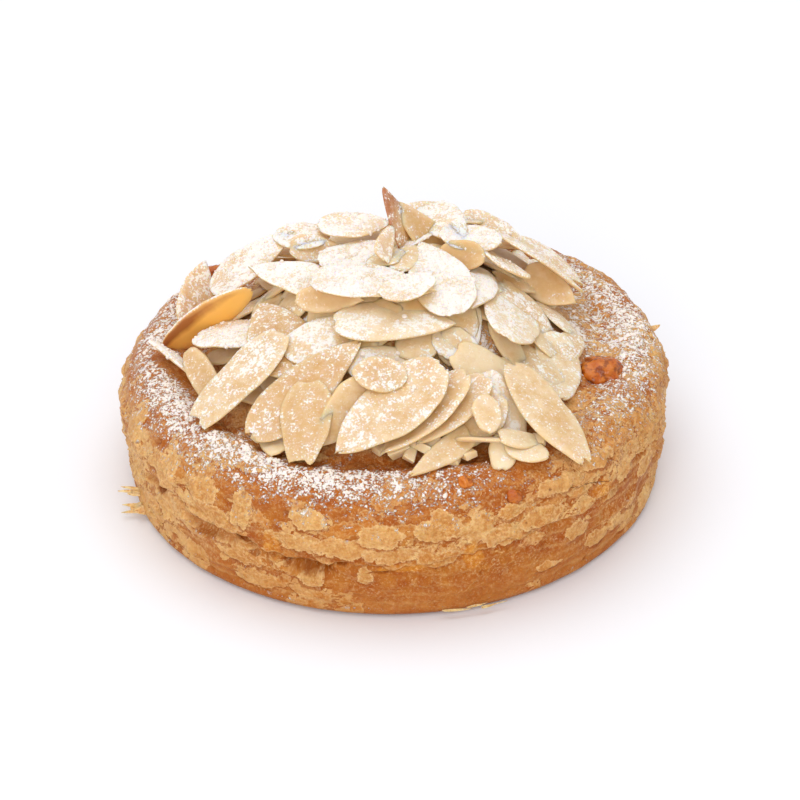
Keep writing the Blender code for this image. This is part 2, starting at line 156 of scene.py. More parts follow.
# A flake: its middle in plan in millimetres, the way its tip points in degrees, its length and
# width in millimetres. A flake without a tilt lies on what is under it. A tilt is (pitch, roll,
# height): the tip raised by pitch, then the left-hand long edge raised by roll, both in degrees
# from level, and the height of the flake's middle in millimetres.
Flake = namedtuple("Flake", "x y heading length width kind tilt", defaults=(ALMOND, None))

LOWER_FLAKES = (
    Flake(-40.0, -6.4, -54, 13.5, 5, ALMOND, (-2, -38, 26.6)),
    Flake(-34.0, -13.8, -62, 13, 5, BLUNT, (-22, 36, 27.4)),
    Flake(-27.0, -8.0, -30, 20, 11),
    Flake(-36.5, 11.0, 75, 17, 8, ALMOND, (40, 30, 29.6)),
    Flake(-21.0, -30.8, -75, 10, 6, BLUNT),
    Flake(-20.5, -12.5, 110, 20, 12),
    Flake(-11.5, -16.5, 5, 17, 10, OVAL),
    Flake(1.0, -23.0, -8, 19, 10, OVAL),
    Flake(10.5, -16.5, 62, 18, 9, OVAL),
    Flake(29.0, -12.5, -92, 17, 9.5, OVAL),
    Flake(17.5, -21.5, 165, 18, 10.5, BLUNT),
    Flake(18.0, -28.0, -60, 14, 9, BLUNT),
    Flake(13.2, -31.8, -139, 15, 8.5),
    Flake(18.5, -38.0, -95, 8.5, 5.5, BLUNT),
    Flake(21.3, -35.0, 25, 8, 4.5, BLUNT),
    Flake(22.6, -36.6, -15, 8, 6.5, OVAL, (-10, 2, 27.4)),
    Flake(8.0, -38.6, -139, 14, 5, SHARD),
    Flake(15.0, -35.5, 2, 9, 5.5, OVAL, (-2, -32, 28.6)),
)

MIDDLE_FLAKES = (
    Flake(-15.5, -25.5, 33, 25, 10.5),
    Flake(-27.2, -20.6, -141, 22, 9.5, BLUNT),
    Flake(-15.3, -32.3, -96, 15.5, 9, BLUNT),
    Flake(-8.5, -31.3, -137, 16, 7.5, ALMOND, (-30, -48, 31.4)),
    Flake(9.8, -31.0, -135, 18, 8.5),
    Flake(5.0, -32.4, -138, 21, 9.5),
    Flake(-1.0, -33.3, -141, 24.5, 12),
    Flake(-2.6, -27.6, 172, 9.5, 7, OVAL),
    Flake(15.8, -33.6, -80, 7.5, 5, OVAL),
    Flake(26.6, -28.6, -56, 23, 10, SPLIT),
    Flake(0.0, -15.3, 2, 21.5, 10),
    Flake(20.6, -6.8, 82, 20, 12, OVAL),
    Flake(28.0, 6.5, -28, 11, 7, ALMOND, (-22, 38, 34.0)),
    Flake(28.5, 15.0, -22, 14.5, 9, ALMOND, (-30, -18, 35.0)),
    Flake(-17.6, -2.5, 158, 17.5, 10, ALMOND, (0, -12, 40.3)),
    Flake(-11.5, -11.0, -8, 12, 5, ALMOND, (4, 55, 42.0)),
    Flake(13.7, -3.6, -93, 17, 9),
    Flake(25.8, 9.0, -12, 20, 9, ALMOND, (-33, -26, 37.8)),
    Flake(20.0, 3.0, -14, 10, 6.5, ALMOND, (-27, -20, 41.0)),
)

UPPER_FLAKES = (
    Flake(-33.8, -0.6, -12, 22, 7, OVAL, (42, 107, 31.4)),
    Flake(-26.0, 9.5, 17, 18.5, 10.5, ALMOND, (31, 2, 37.6)),
    Flake(-16.9, 11.0, -28, 11, 8, OVAL, (6, 8, 42.0)),
    Flake(-14.5, 7.0, -6, 9, 5.5, BLUNT, (-6, 50, 41.5)),
    Flake(-7.0, 3.0, 8, 14, 9, OVAL),
    Flake(7.6, -4.5, 107, 21, 11.5),
    Flake(-4.0, -7.6, -8, 22, 12),
    Flake(2.2, -11.2, 36, 11.5, 6.5, OVAL),
    Flake(-7.5, 11.0, 4, 13, 8.5, OVAL, (0, 2, 44.5)),
    Flake(12.0, 2.5, -12, 8.5, 6, OVAL, (0, 42, 43.0)),
    Flake(13.6, 7.0, -14, 11.5, 9, OVAL, (-4, 2, 44.2)),
    Flake(18.2, 16.5, -26, 14, 9, ALMOND, (-14, 4, 39.6)),
    Flake(5.0, 15.5, 18, 13, 9.5, OVAL, (4, 22, 42.6)),
    Flake(9.0, 12.0, -62, 15, 8, ALMOND, (-4, 12, 43.7)),
    Flake(-1.4, 2.0, 76, 9, 4.5, SHARD, (12, 48, 46.0)),
    Flake(5.2, 9.0, 168, 15, 7, ALMOND, (48, -24, 44.0)),
    Flake(1.4, 8.0, 176, 17, 7.5, SHARD, (67, -22, 45.4)),
)

# The most scorched flake and the one with a brown tip, by number.
SCORCHED = 67
BROWN_TIPPED = 38

# Rows of flakes on the side that faces away: radius in millimetres, how many there are, and the
# directions of the first and the last in degrees.
BACK_ROWS = (
    (34.0, 7, 34.0, 144.0),
    (26.0, 5, 40.0, 138.0),
    (17.0, 2, 70.0, 115.0),
)
BACK_DRAWN_IN = 0.92
BACK_LENGTH = (18.0, 23.0)
BACK_WIDTH = (8.5, 11.5)
BACK_SWING = 70.0
BACK_JITTER = 2.2

# Looks of the flakes that can be told apart, in the order in which they are laid: how toasted each
# is, how much sugar has fallen on it and how much syrup it has soaked up, all from 0 to 1. Those
# at the back are drawn by a rule.
Look = namedtuple("Look", "toast dust amber", defaults=(0.0,))
LOWER_LOOKS = (
    Look(0.15, 0.95), Look(0.50, 0.20), Look(0.20, 0.95), Look(0.60, 0.60), Look(0.20, 0.10),
    Look(0.70, 0.45), Look(0.35, 0.75), Look(0.10, 0.80), Look(0.10, 0.85), Look(0.20, 0.42),
    Look(0.05, 0.15), Look(0.10, 0.80), Look(0.30, 0.45), Look(0.10, 0.25), Look(0.15, 0.20),
    Look(0.15, 0.30), Look(0.35, 0.25), Look(0.15, 0.25),
)
MIDDLE_LOOKS = (
    Look(0.70, 0.40), Look(0.45, 0.50), Look(0.65, 0.35), Look(0.35, 0.15), Look(0.40, 0.45),
    Look(0.35, 0.40), Look(0.45, 0.50), Look(0.60, 0.50), Look(0.30, 0.35), Look(0.40, 0.30),
    Look(0.10, 0.60), Look(0.10, 0.65), Look(0.45, 0.15), Look(0.35, 0.55), Look(0.20, 0.90),
    Look(0.50, 0.15), Look(0.10, 0.90), Look(0.25, 0.55), Look(0.30, 0.70),
)
UPPER_LOOKS = (
    Look(0.80, 0.00, 1.0), Look(0.40, 0.85), Look(0.30, 0.90), Look(0.50, 0.50), Look(0.20, 0.90),
    Look(0.10, 1.00), Look(0.10, 1.00), Look(0.15, 0.95), Look(0.25, 0.85), Look(0.65, 0.10),
    Look(0.15, 0.95), Look(0.35, 0.60), Look(0.30, 0.70), Look(0.30, 0.80), Look(0.40, 0.50),
    Look(0.60, 0.20), Look(0.80, 0.45),
)

# Where the crack gapes: direction in degrees, how far round it reaches, and how wide it is open.
OPENINGS = (
    (-107.0, 8.0, 0.8),
    (-148.0, 3.5, 1.0),
    (-131.0, 8.0, 0.9),
    (-119.0, 5.0, 0.4),
    (-60.0, 12.0, 0.25),
    (-33.0, 9.0, 0.35),
    (-175.0, 8.0, 0.4),
)

# Hollows of the side: direction in degrees, height, half width, half height and depth in
# millimetres.
HOLLOWS = (
    (-107.6, 9.9, 4.6, 1.9, 1.6),
    (-100.7, 11.6, 0.9, 0.9, 0.8),
    (-147.5, 12.9, 1.3, 2.0, 1.2),
    (-92.5, 10.2, 2.4, 0.5, 0.4),
    (-126.0, 12.6, 2.6, 0.5, 0.6),
    (-119.5, 9.8, 1.2, 0.5, 0.5),
)

# Skins of the side that can be told apart: direction in degrees, height, half width and half
# height in millimetres, and how pale, from 0 to 1.
PLATES = (
    (-143.0, 18.7, 2.6, 5.6, 0.9), (-132.0, 19.2, 3.6, 2.2, 0.75), (-129.0, 15.2, 6.2, 2.3, 0.45),
    (-144.0, 10.2, 4.0, 3.6, 0.8), (-125.0, 10.9, 5.6, 1.5, 0.8), (-122.0, 8.6, 4.4, 1.9, 0.4),
    (-109.0, 15.3, 6.0, 1.9, 0.7), (-100.0, 15.2, 5.0, 2.0, 0.6), (-91.0, 14.6, 4.6, 2.0, 0.6),
    (-107.0, 20.0, 3.2, 2.0, 1.0), (-122.0, 19.4, 1.9, 3.0, 1.0), (-121.0, 17.0, 0.9, 1.8, 1.0),
    (-93.0, 18.3, 3.8, 2.4, 0.8), (-81.0, 13.6, 3.6, 2.4, 0.3), (-81.0, 19.4, 4.4, 2.5, 0.8),
    (-73.0, 18.0, 3.2, 2.8, 0.7), (-67.5, 15.5, 4.6, 2.3, 0.8), (-66.0, 20.0, 2.6, 1.2, 0.9),
    (-59.0, 17.0, 4.2, 2.0, 0.6), (-107.0, 7.4, 2.3, 1.6, 0.9), (-96.0, 9.2, 1.4, 2.2, 0.8),
    (-34.0, 17.5, 3.2, 2.4, 0.6), (-49.0, 10.8, 3.0, 2.3, 0.9), (-42.0, 5.8, 3.4, 1.5, 0.6),
    (-24.0, 13.0, 2.4, 3.4, 0.8), (-158.0, 12.0, 3.2, 4.0, 0.9), (-160.0, 20.0, 3.0, 3.4, 0.8),
    (-30.0, 8.5, 2.4, 1.1, 0.7), (-14.0, 17.0, 1.8, 3.2, 0.7), (-38.5, 14.4, 1.8, 0.9, 0.9),
    (-55.0, 21.6, 4.6, 1.5, 0.7), (-42.0, 22.8, 3.6, 1.3, 0.6), (-56.0, 5.2, 2.8, 0.8, 0.5),
)

# Glassy amber spots of the side: direction in degrees, height, half width and half height in
# millimetres.
GLAZED = (
    (-43.0, 17.3, 2.8, 1.6),
    (-115.0, 13.6, 1.9, 2.8),
    (-74.0, 12.6, 1.8, 3.2),
    (-88.0, 11.2, 4.0, 1.3),
)

# Where the side shows fewer skins, or more if the last number is below 0: direction in degrees,
# height and reach in millimetres, and how much fewer.
PATCHES = (
    (-114.0, 20.9, 2.8, 0.4), (-100.0, 22.6, 2.6, 0.4), (-87.0, 21.6, 2.4, 0.4),
    (-67.0, 23.3, 2.4, 0.3), (-98.0, 6.9, 1.8, 0.4), (-68.5, 17.6, 1.5, 0.4),
    (-85.0, 6.6, 5.4, 0.4), (-74.0, 6.8, 5.0, 0.4), (-62.0, 6.4, 4.4, 0.4),
    (-137.0, 16.4, 2.4, 0.4), (-118.0, 13.6, 2.4, 0.4), (-45.0, 19.4, 2.0, 0.4),
    (-37.0, 12.5, 3.0, 0.4), (-28.0, 8.0, 3.2, 0.3), (-53.0, 24.2, 5.0, -0.45),
    (-37.0, 24.0, 5.0, -0.35), (-20.0, 20.0, 5.0, -0.3),
)

# Layers of thin skins on the side, from the lowest: size, shift of their pattern in metres, how
# much less of the side each covers and the tint past which a skin is pale.
SkinLayer = namedtuple("SkinLayer", "size shift less pale_past")
SKIN_LAYERS = (
    SkinLayer(8.5 * MM, 0.0, 0.0, 0.72),
    SkinLayer(4.6 * MM, 0.9, 0.14, 0.55),
)
# How far below a skin's edge its soft shadow falls.
SHADOW_DROP = 0.70 * MM

# Fine relief of the crust that a user has no setting for.
PIT_DEPTH = 0.30 * MM
CRATER_DEPTH = 0.35 * MM
CRATER_RIM_HEIGHT = 0.18 * MM
RIDGE_HEIGHT = 0.20 * MM
SLIT_DEPTH = 0.25 * MM
GRAIN_RELIEF = 0.30 * MM
SWELL_RELIEF = 1.2 * MM
RELIEF_SUNK = 1.0 * MM

# The slit on the right: its direction and reach round the drum in degrees, its slope, the
# height at which its line would cross the axis, how far it strays and its half width.
SLIT_DIRECTION = -46.5
SLIT_REACH = 5.5
SLIT_SLOPE = 0.32
SLIT_HEIGHT = 30.2 * MM
SLIT_STRAY = 1.1 * MM
SLIT_HALF_WIDTH = 0.10 * MM

# Fine ridges where the layers' ends show: how far one is above the next and how far they stray.
RIDGE_GAP = 2.2 * MM
RIDGE_STRAY = 4.5 * MM

# Chopped bits of almond in the hollow under the front flakes and between flakes: place, heading,
# pitch, roll, length, width and thickness, in millimetres and degrees.
Bit = namedtuple("Bit", "x y z heading pitch roll length width thick")
ALMOND_CHUNKS = (
    Bit(0.6, -36.4, 27.4, 20, 10, 25, 4.6, 3.0, 2.2),
    Bit(4.6, -36.0, 27.6, -35, -8, -30, 4.4, 3.2, 2.0),
    Bit(2.6, -37.6, 26.9, 70, 14, 20, 3.2, 2.4, 1.6),
    Bit(6.6, -35.2, 27.9, 15, 22, 40, 3.6, 2.6, 1.6),
    Bit(-2.6, -35.8, 27.0, -60, 5, 15, 3.0, 2.2, 1.5),
    Bit(12.6, -37.2, 26.8, 35, 6, -12, 3.4, 2.6, 1.6),
    Bit(10.0, -38.4, 26.4, -10, 0, 10, 2.6, 1.8, 1.2),
    Bit(24.8, -33.0, 27.0, -20, 12, 24, 3.2, 2.2, 1.4),
    Bit(-23.6, -30.8, 26.2, 40, 4, 20, 2.8, 2.0, 1.2),
)

CHUNK_BEVEL = 0.22 * MM
# What each of the almond's point values is on a chopped bit.
CHUNK_LOOK = (2.0, 0.05, 0.6, 0.3, 0.12, 0.0)

# More broken slices lie under the heap, where gaps between the flakes show them: how many there
# are, how far out, then in millimetres and degrees how high above the dough, and their jitter in
# place and in tilt.
BED_COUNT = 70
BED_RADIUS = 32.0 * MM
BED_HEIGHT = 0.6
BED_JITTER = 1.5
BED_TILT = 9.0
# The least and the most of their length, width and thickness, in millimetres.
BED_SIZES = ((7.0, 13.0), (5.0, 8.0), (0.6, 0.9))

SLIVER_RIPPLE = 0.4 * MM
# Loose slivers of crust that stick out of the side or lie at the foot, as the bits are given.
CRUST_SLIVERS = (
    Bit(-47.8, -15.6, 4.9, 172, 3, -50, 3.6, 0.6, 0.14),
    Bit(-47.6, -16.0, 4.4, 179, 1, -30, 5.0, 0.8, 0.16),
    Bit(-47.0, -16.2, 4.1, 183, -3, -60, 2.8, 1.1, 0.18),
    Bit(-46.6, -16.0, 4.6, 188, -2, 20, 2.2, 1.8, 0.20),
    Bit(-47.0, -17.2, 2.2, 181, 4, -50, 4.6, 0.9, 0.16),
    Bit(-46.2, -17.4, 1.8, 184, 1, -30, 3.2, 2.2, 0.22),
    Bit(-47.0, -17.8, 1.3, 188, -1, -60, 5.0, 0.8, 0.16),
    Bit(-46.0, -18.6, 2.0, 200, 6, -40, 2.6, 1.7, 0.20),
    Bit(47.4, 11.0, 22.2, 25, 14, 60, 3.4, 1.4, 0.25),
    Bit(48.4, 6.4, 19.2, 8, 30, 70, 3.0, 1.3, 0.25),
    Bit(10.8, -48.2, 1.8, 6, -1, 70, 5.4, 0.4, 0.10),
    Bit(17.2, -46.4, 1.7, 20, 3, 70, 4.8, 0.45, 0.10),
    Bit(14.2, -47.4, 2.2, 14, 5, 70, 3.6, 0.4, 0.10),
    Bit(-27.4, 42.2, 9.0, 122, 12, 40, 4.0, 1.4, 0.26),
    Bit(21.6, 44.2, 15.6, 70, 22, 30, 3.6, 1.6, 0.26),
)

# Sugar on the rim: how much all round, and patches of more or less: direction and spread in
# degrees, and how much more.
RIM_SUGAR = 0.38
RIM_SUGAR_PATCHES = (
    (-140.0, 36.0, 0.36),
    (-103.0, 16.0, 0.27),
    (-80.0, 12.0, 0.10),
    (-56.0, 15.0, -0.20),
    (8.0, 32.0, 0.36),
    (172.0, 26.0, 0.25),
    (100.0, 40.0, 0.15),
)
# How sugar falls: how far from straight down, from how far up something can keep it off, and how
# far off the surface it is looked for.
FALL_SPREAD = 0.30
FALL_REACH = 30.0 * MM
FALL_START = 0.12 * MM

# Pieces that the sugar fell on.
DUSTED = ("crust", "almond_flakes", "almond_bits", "almond_chunks")
# Sugar strewn as grains and clumps: the piece's name and the piece that it lies on, rounds of the
# ball that each grain starts from, the most for each square metre, the smallest, the setting that
# gives the largest, the dust below which none lies, and its seed.
Strewn = namedtuple("Strewn", "name on rounds density smallest largest bare seed")
STREWN = (
    Strewn("sugar_on_rim", "crust", 1, 2.6e6, 0.10 * MM, "grain", 0.10, 3),
    Strewn("sugar_on_flakes", "almond_flakes", 1, 2.4e6, 0.10 * MM, "grain", 0.10, 4),
    Strewn("sugar_clumps_rim", "crust", 2, 1.6e6, 0.25 * MM, "clump", 0.42, 5),
    Strewn("sugar_clumps_flakes", "almond_flakes", 2, 0.7e6, 0.25 * MM, "clump", 0.42, 6),
)

# Flakes that sit a little off the solid's: number of the flake, its shift in millimetres and how
# much of its length and width it keeps.
Refined = namedtuple("Refined", "dx dy dz long wide", defaults=(1.0, 1.0))
REFINED = {
    3: Refined(0.2, -0.6, 0.0, 0.80, 0.88),
    8: Refined(0.6, 2.2, 0.3, 0.74, 0.95),
    13: Refined(0.0, 0.8, 0.3, 0.78, 0.92),
    24: Refined(5.0, 1.0, -2.4),
    45: Refined(0.0, 0.0, -0.7),
    46: Refined(0.0, 1.6, 0.3, 1.0, 0.86),
    57: Refined(0.0, -0.8, -0.2),
}

# The stage, in metres; the sensor's width in millimetres.
FLOOR_SIZE = 3.0
LIGHT_TARGET = (0.0, 0.0, 0.02)
LIGHT_TINT = (1.0, 0.99, 0.98)
KEY_PLACE = (-0.12, 0.14, 1.0)
KEY_WIDTH = 1.20
FRONT_PLACE = (-0.10, -0.85, 0.48)
FRONT_WIDTH = 0.60
CAMERA_TARGET = (0.9 * MM, 0.0, 13.7 * MM)
SENSOR_WIDTH = 36.0


def paint(red, green, blue):
    """A colour seen on screen, 0 to 255, as the linear colour a shader takes."""
    return tuple((c / 255.0 / 12.92) if c <= 10 else ((c / 255.0 + 0.055) / 1.055) ** 2.4
                 for c in (red, green, blue))


# --- colours that a user has no setting for ----------------------------------------------------

LOW_SIDE = paint(176, 100, 42)
LOW_SIDE_LIGHT = paint(192, 124, 60)
RIM_LIGHT = paint(188, 108, 40)
# Painted light on the blisters' tops.
BLISTER_TOP_LIGHT = paint(206, 142, 70)
# Painted light on the dough under the heap, lifting the shade in the gaps between flakes.
UNDER_HEAP_PAINTED_LIGHT = paint(226, 186, 128)
SKIN_WARM = paint(204, 138, 62)
SKIN_TOASTED = paint(194, 112, 34)
PALE_MELLOW = paint(206, 146, 74)
PALE_LIGHT = paint(232, 190, 130)
PALE_WARM = paint(200, 134, 64)
# Painted shadows under skins and plates, joints partly painted shade, painted edge highlights.
SKIN_SHADOW = paint(154, 74, 8)
SKIN_JOINT_AND_SHADE = paint(152, 76, 10)
SKIN_EDGE_HIGHLIGHT = paint(234, 194, 134)
PLATE_SHADOW = paint(148, 70, 6)
PLATE_EDGE_HIGHLIGHT = paint(238, 200, 142)
GLAZE_DEEP = paint(196, 112, 22)
GLAZE_LIGHT = paint(222, 150, 52)
# Painted highlight on the lip's edge and painted shadow under the ledge.
LIP_HIGHLIGHT = paint(222, 182, 124)
LEDGE_SHADOW = paint(136, 66, 8)
# Painted shade in the crack, darkest under the lip, in the hollows and in the slit.
CRACK_SHADE = paint(176, 96, 16)
CRACK_SHADOW_UNDER_LIP = paint(112, 50, 4)
HOLLOW_SHADE_PALER = paint(168, 92, 14)
SLIT_SHADE = paint(96, 42, 8)
GRIT_DARK = paint(166, 84, 18)
GRIT_LIGHT = PLATE_EDGE_HIGHLIGHT
SPECK_DARK = paint(160, 80, 16)
# Pale specks: grain of the crust, and painted glints.
PALE_SPECK_AND_GLINT = paint(246, 214, 162)
FOOT_DARK = paint(144, 72, 30)
# A paler tint laid in patches on the left of the side.
LEFT_PALE_TINT = paint(238, 196, 138)
SLIVER_DARK = paint(216, 164, 96)
SLIVER_PALE = paint(242, 212, 158)
# A slice's golden edge: its own colour, and painted warm shade.
ALMOND_EDGE_AND_WARM_SHADE = paint(214, 168, 104)
# Sugar where little light reaches: painted warm shade.
SUGAR_IN_WARM_SHADE = paint(246, 216, 172)
SUGAR_WARM = paint(236, 218, 200)
CARAMEL_LIGHT = paint(220, 136, 50)
CARAMEL_BAKED = paint(146, 52, 4)
CARAMEL_DARK = paint(110, 42, 8)
FLOOR_LIGHT = paint(240, 241, 246)
FLOOR_SHADE = paint(237, 238, 243)


# --- settings that a user may change -----------------------------------------------------------


def length(name, description, default):
    return FloatProperty(name=name, description=description, default=default, min=0.0,
                         precision=5, unit="LENGTH", subtype="DISTANCE")


def share(name, description, default, top=1.0):
    return FloatProperty(name=name, description=description, default=default, min=0.0, max=top,
                         subtype="FACTOR")


def colour(name, description, red, green, blue):
    return FloatVectorProperty(name=name, description=description, size=3, subtype="COLOR",
                               min=0.0, max=1.0, default=paint(red, green, blue))


class CrustSettings(bpy.types.PropertyGroup):
    skin_lift: length("Skin lift", "How far a flaky skin stands proud", 0.32 * MM)
    second_lift: length("Second skin", "How far the skin on top of it stands proud", 0.26 * MM)
    crack_depth: length("Crack depth", "Depth of the crack round the side", 2.0 * MM)
    lip_lift: length("Lip", "How far the upper skin hangs over the crack", 0.60 * MM)
    blister_height: length("Blisters", "Height of the small blisters", 0.30 * MM)
    spokes: IntProperty(name="Spokes", description="Points round the drum", default=660, min=64)
    point_gap: length("Point gap", "Distance between the rings of points", 0.36 * MM)
    bare: colour("Bare", "Colour of the crust where a skin has flaked off", 184, 112, 38)
    bare_dark: colour("Bare, dark", "Colour of the bare crust's darker parts", 162, 80, 18)
    # Painted shade in the hollows and pits.
    hollow: colour("Hollow", "Colour of hollows and of the crack", 128, 60, 6)
    skin: colour("Skin", "Colour of the flaky skin", 188, 118, 48)
    skin_pale: colour("Pale skin", "Colour of the palest skins", 222, 174, 108)
    rim: colour("Rim", "Colour of the well baked rim", 158, 76, 18)


class FlakeSettings(bpy.types.PropertyGroup):
    rows: IntProperty(name="Rows", description="Points along a flake", default=34, min=6)
    columns: IntProperty(name="Columns", description="Points across a flake", default=13, min=5)
    ripple: length("Ripple", "How wavy a flake's face is", 0.22 * MM)
    cream: colour("Cream", "Colour of a pale slice", 233, 209, 171)
    golden: colour("Golden", "Colour of a lightly toasted slice", 213, 175, 120)
    toasted: colour("Toasted", "Colour of a well toasted slice", 198, 146, 82)
    amber: colour("Amber", "Colour of a slice soaked in syrup", 246, 190, 92)
    burnt: colour("Burnt", "Colour of a burnt edge", 164, 90, 38)


class SugarSettings(bpy.types.PropertyGroup):
    grain: length("Grain", "Size across of the largest grain", 0.42 * MM)
    clump: length("Clump", "Size across of the largest clump", 1.0 * MM)
    amount: share("Amount", "How much sugar has been dusted on", 1.0, 2.0)
    white: colour("Sugar", "Colour of the sugar", 245, 238, 232)
    caramel: colour("Caramel", "Colour of the baked sugar lumps", 194, 98, 24)


class StageSettings(bpy.types.PropertyGroup):
    elevation: FloatProperty(name="Elevation", description="Camera's angle above the floor",
                             default=math.radians(33.0), subtype="ANGLE")
    distance: length("Distance", "Camera's distance from its target", 0.600)
    focal: FloatProperty(name="Lens", description="Focal length in millimetres", default=147.42)
    key: FloatProperty(name="Key light", description="Power of the large light", default=4.75)
    fill: FloatProperty(name="Fill light", description="Power of the front light", default=3.15)
    sky: FloatProperty(name="Sky", description="Strength of the even light all round", default=0.75)


# --- node wiring -------------------------------------------------------------------------------


class Wire:
    """A socket of a node tree that can be added, scaled and compared like a number."""

    def __init__(self, board, socket):
        self.board = board
        self.socket = socket

    def __add__(self, other):
        return self.board.math("ADD", self, other)

    def __radd__(self, other):
        return self.board.math("ADD", other, self)

    def __sub__(self, other):
        return self.board.math("SUBTRACT", self, other)

    def __rsub__(self, other):
        return self.board.math("SUBTRACT", other, self)

    def __mul__(self, other):
        return self.board.math("MULTIPLY", self, other)

    def __rmul__(self, other):
        return self.board.math("MULTIPLY", other, self)

    def __truediv__(self, other):
        return self.board.math("DIVIDE", self, other)

    def above(self, edge, soft):
        """0 below the edge, 1 above it, and a ramp as wide as soft between them."""
        ramp = {"operation": "MULTIPLY_ADD", "use_clamp": True}
        if isinstance(edge, Wire):
            return self.board.node("ShaderNodeMath", ramp, {0: self - edge, 1: 1.0 / soft, 2: 0.5})
        return self.board.node("ShaderNodeMath", ramp,
                               {0: self, 1: 1.0 / soft, 2: 0.5 - edge / soft})


class Board:
    """A node tree that is being filled, of a material or of geometry."""

    def __init__(self, tree):
        self.tree = tree

    def node(self, kind, settings=None, values=None, output=0):
        """Adds one node: its settings first, then the values or links of its sockets."""
        made = self.tree.nodes.new(kind)
        for name, value in (settings or {}).items():
            setattr(made, name, value)
        for key, value in (values or {}).items():
            if isinstance(value, Wire):
                self.tree.links.new(value.socket, made.inputs[key])
            else:
                made.inputs[key].default_value = value
        return Wire(self, made.outputs[output])

    def math(self, operation, *values):
        return self.node("ShaderNodeMath", {"operation": operation}, dict(enumerate(values)))

    def vector(self, operation, *values, output=0):
        return self.node("ShaderNodeVectorMath", {"operation": operation}, dict(enumerate(values)),
                         output)

    def dot(self, first, second):
        return self.vector("DOT_PRODUCT", first, second, output=1)

    def scaled(self, vector, factor):
        return self.node("ShaderNodeVectorMath", {"operation": "SCALE"},
                         {0: vector, "Scale": factor})

    def upright(self, place, factor):
        """A place with its height scaled: a factor above 1 makes patterns flatter."""
        return self.vector("MULTIPLY", place, (1.0, 1.0, factor))

    def moved(self, place, shift):
        """A place moved aside, so that two patterns of one kind don't look alike."""
        return self.vector("ADD", place, (shift, 0.7 * shift, 1.3 * shift))

    def parts(self, vector):
        """The x, y and z of a vector."""
        made = self.node("ShaderNodeSeparateXYZ", None, {0: vector})
        return tuple(Wire(self, socket) for socket in made.socket.node.outputs)

    def mix(self, factor, first, second):
        """A colour between two others."""
        first, second = (c if isinstance(c, Wire) else (*c, 1.0) for c in (first, second))
        values = {0: factor, 6: first, 7: second}
        return self.node("ShaderNodeMix", {"data_type": "RGBA"}, values, 2)

    def coats(self, shade, *layers):
        """A colour with others laid over it in order, each given as its amount and colour."""
        for amount, colour_over in layers:
            shade = self.mix(amount, shade, colour_over)
        return shade

    def noise(self, place, size, detail, rough, shift=0.0):
        """Noise from 0 to 1 whose lumps are about as large as size."""
        return self.node("ShaderNodeTexNoise", None, {
            "Vector": self.moved(place, shift), "Scale": 1.0 / size, "Detail": detail,
            "Roughness": rough})

    def cells(self, place, size, feature="F1", shift=0.0):
        """Distance to the nearest of points strewn about as far apart as size, in sizes."""
        return self.node("ShaderNodeTexVoronoi", {"feature": feature},
                         {"Vector": self.moved(place, shift), "Scale": 1.0 / size})

    def attribute(self, name, output="Fac"):
        return self.node("ShaderNodeAttribute", {"attribute_name": name}, None, output)

    def object_place(self):
        """The place in the piece's own coordinates, which are the world's."""
        return self.node("ShaderNodeTexCoord", None, None, "Object")


# --- the dough's form --------------------------------------------------------------------------


def dome_height(radius):
    inside = max(0.0, 1.0 - (radius / GROOVE_RADIUS) ** 2)
    return GROOVE_HEIGHT + (DOME_HEIGHT - GROOVE_HEIGHT) * inside**DOME_FULLNESS


def top_height(radius):
    """Height of the smooth top at a radius: shoulder, rim, groove and dome."""
    if radius <= GROOVE_RADIUS:
        return dome_height(radius)
    if radius <= RIM_RADIUS:
        part = (radius - GROOVE_RADIUS) / (RIM_RADIUS - GROOVE_RADIUS)
        return GROOVE_HEIGHT + (RIM_HEIGHT - GROOVE_HEIGHT) * 0.5 * (1.0 - math.cos(math.pi * part))
    part = (radius - RIM_RADIUS) / (BELLY_RADIUS - RIM_RADIUS)
    drop = 1.0 - math.sqrt(max(0.0, 1.0 - part * part))
    return RIM_HEIGHT - (RIM_HEIGHT - BELLY_HEIGHT) * drop


def side_radius(height):
    """Radius of the smooth side: rounded heel, slow belly, rounded shoulder up to the rim."""
    if height <= HEEL_HEIGHT:
        part = 1.0 - height / HEEL_HEIGHT
        return HEEL_RADIUS - (HEEL_RADIUS - FOOT_RADIUS) * (1.0 - math.sqrt(1.0 - part * part))
    if height <= BELLY_HEIGHT:
        part = (BELLY_HEIGHT - height) / (BELLY_HEIGHT - HEEL_HEIGHT)
        return BELLY_RADIUS - (BELLY_RADIUS - HEEL_RADIUS) * part**1.6
    part = min(1.0, (height - BELLY_HEIGHT) / (RIM_HEIGHT - BELLY_HEIGHT))
    return RIM_RADIUS + (BELLY_RADIUS - RIM_RADIUS) * (1.0 - part**3.0) ** (1.0 / 1.9)


def layer_relief(angle, height):
    """Broad layers of the side: bumps that are long round the drum and short in height."""
    x, y = math.cos(angle), math.sin(angle)
    return LAYER_RELIEF * sum(
        part * noise.noise(Vector((close * x, close * y, height / tall)))
        for close, tall, part in LAYER_BUMPS)


def oval(angle):
    return 1.0 + OVALNESS * math.sin(2.0 * angle)


def lean(x, height):
    return height * (1.0 + LEAN_PER_METRE * x)


def bump(x, y):
    """How uneven the top is at a point of the plan, about -1 to 1."""
    broad = noise.noise(Vector((x, y, 0.0)) / BROAD_BUMP)
    small = noise.noise(Vector((x, y, 0.01)) / SMALL_BUMP)
    return broad + 0.5 * small


def dough_top(x, y):
    """Height of the dough's top under a point of the plan."""
    radius = math.hypot(x, y) / oval(math.atan2(y, x))
    return lean(x, top_height(radius) + TOP_RELIEF * bump(x, y))


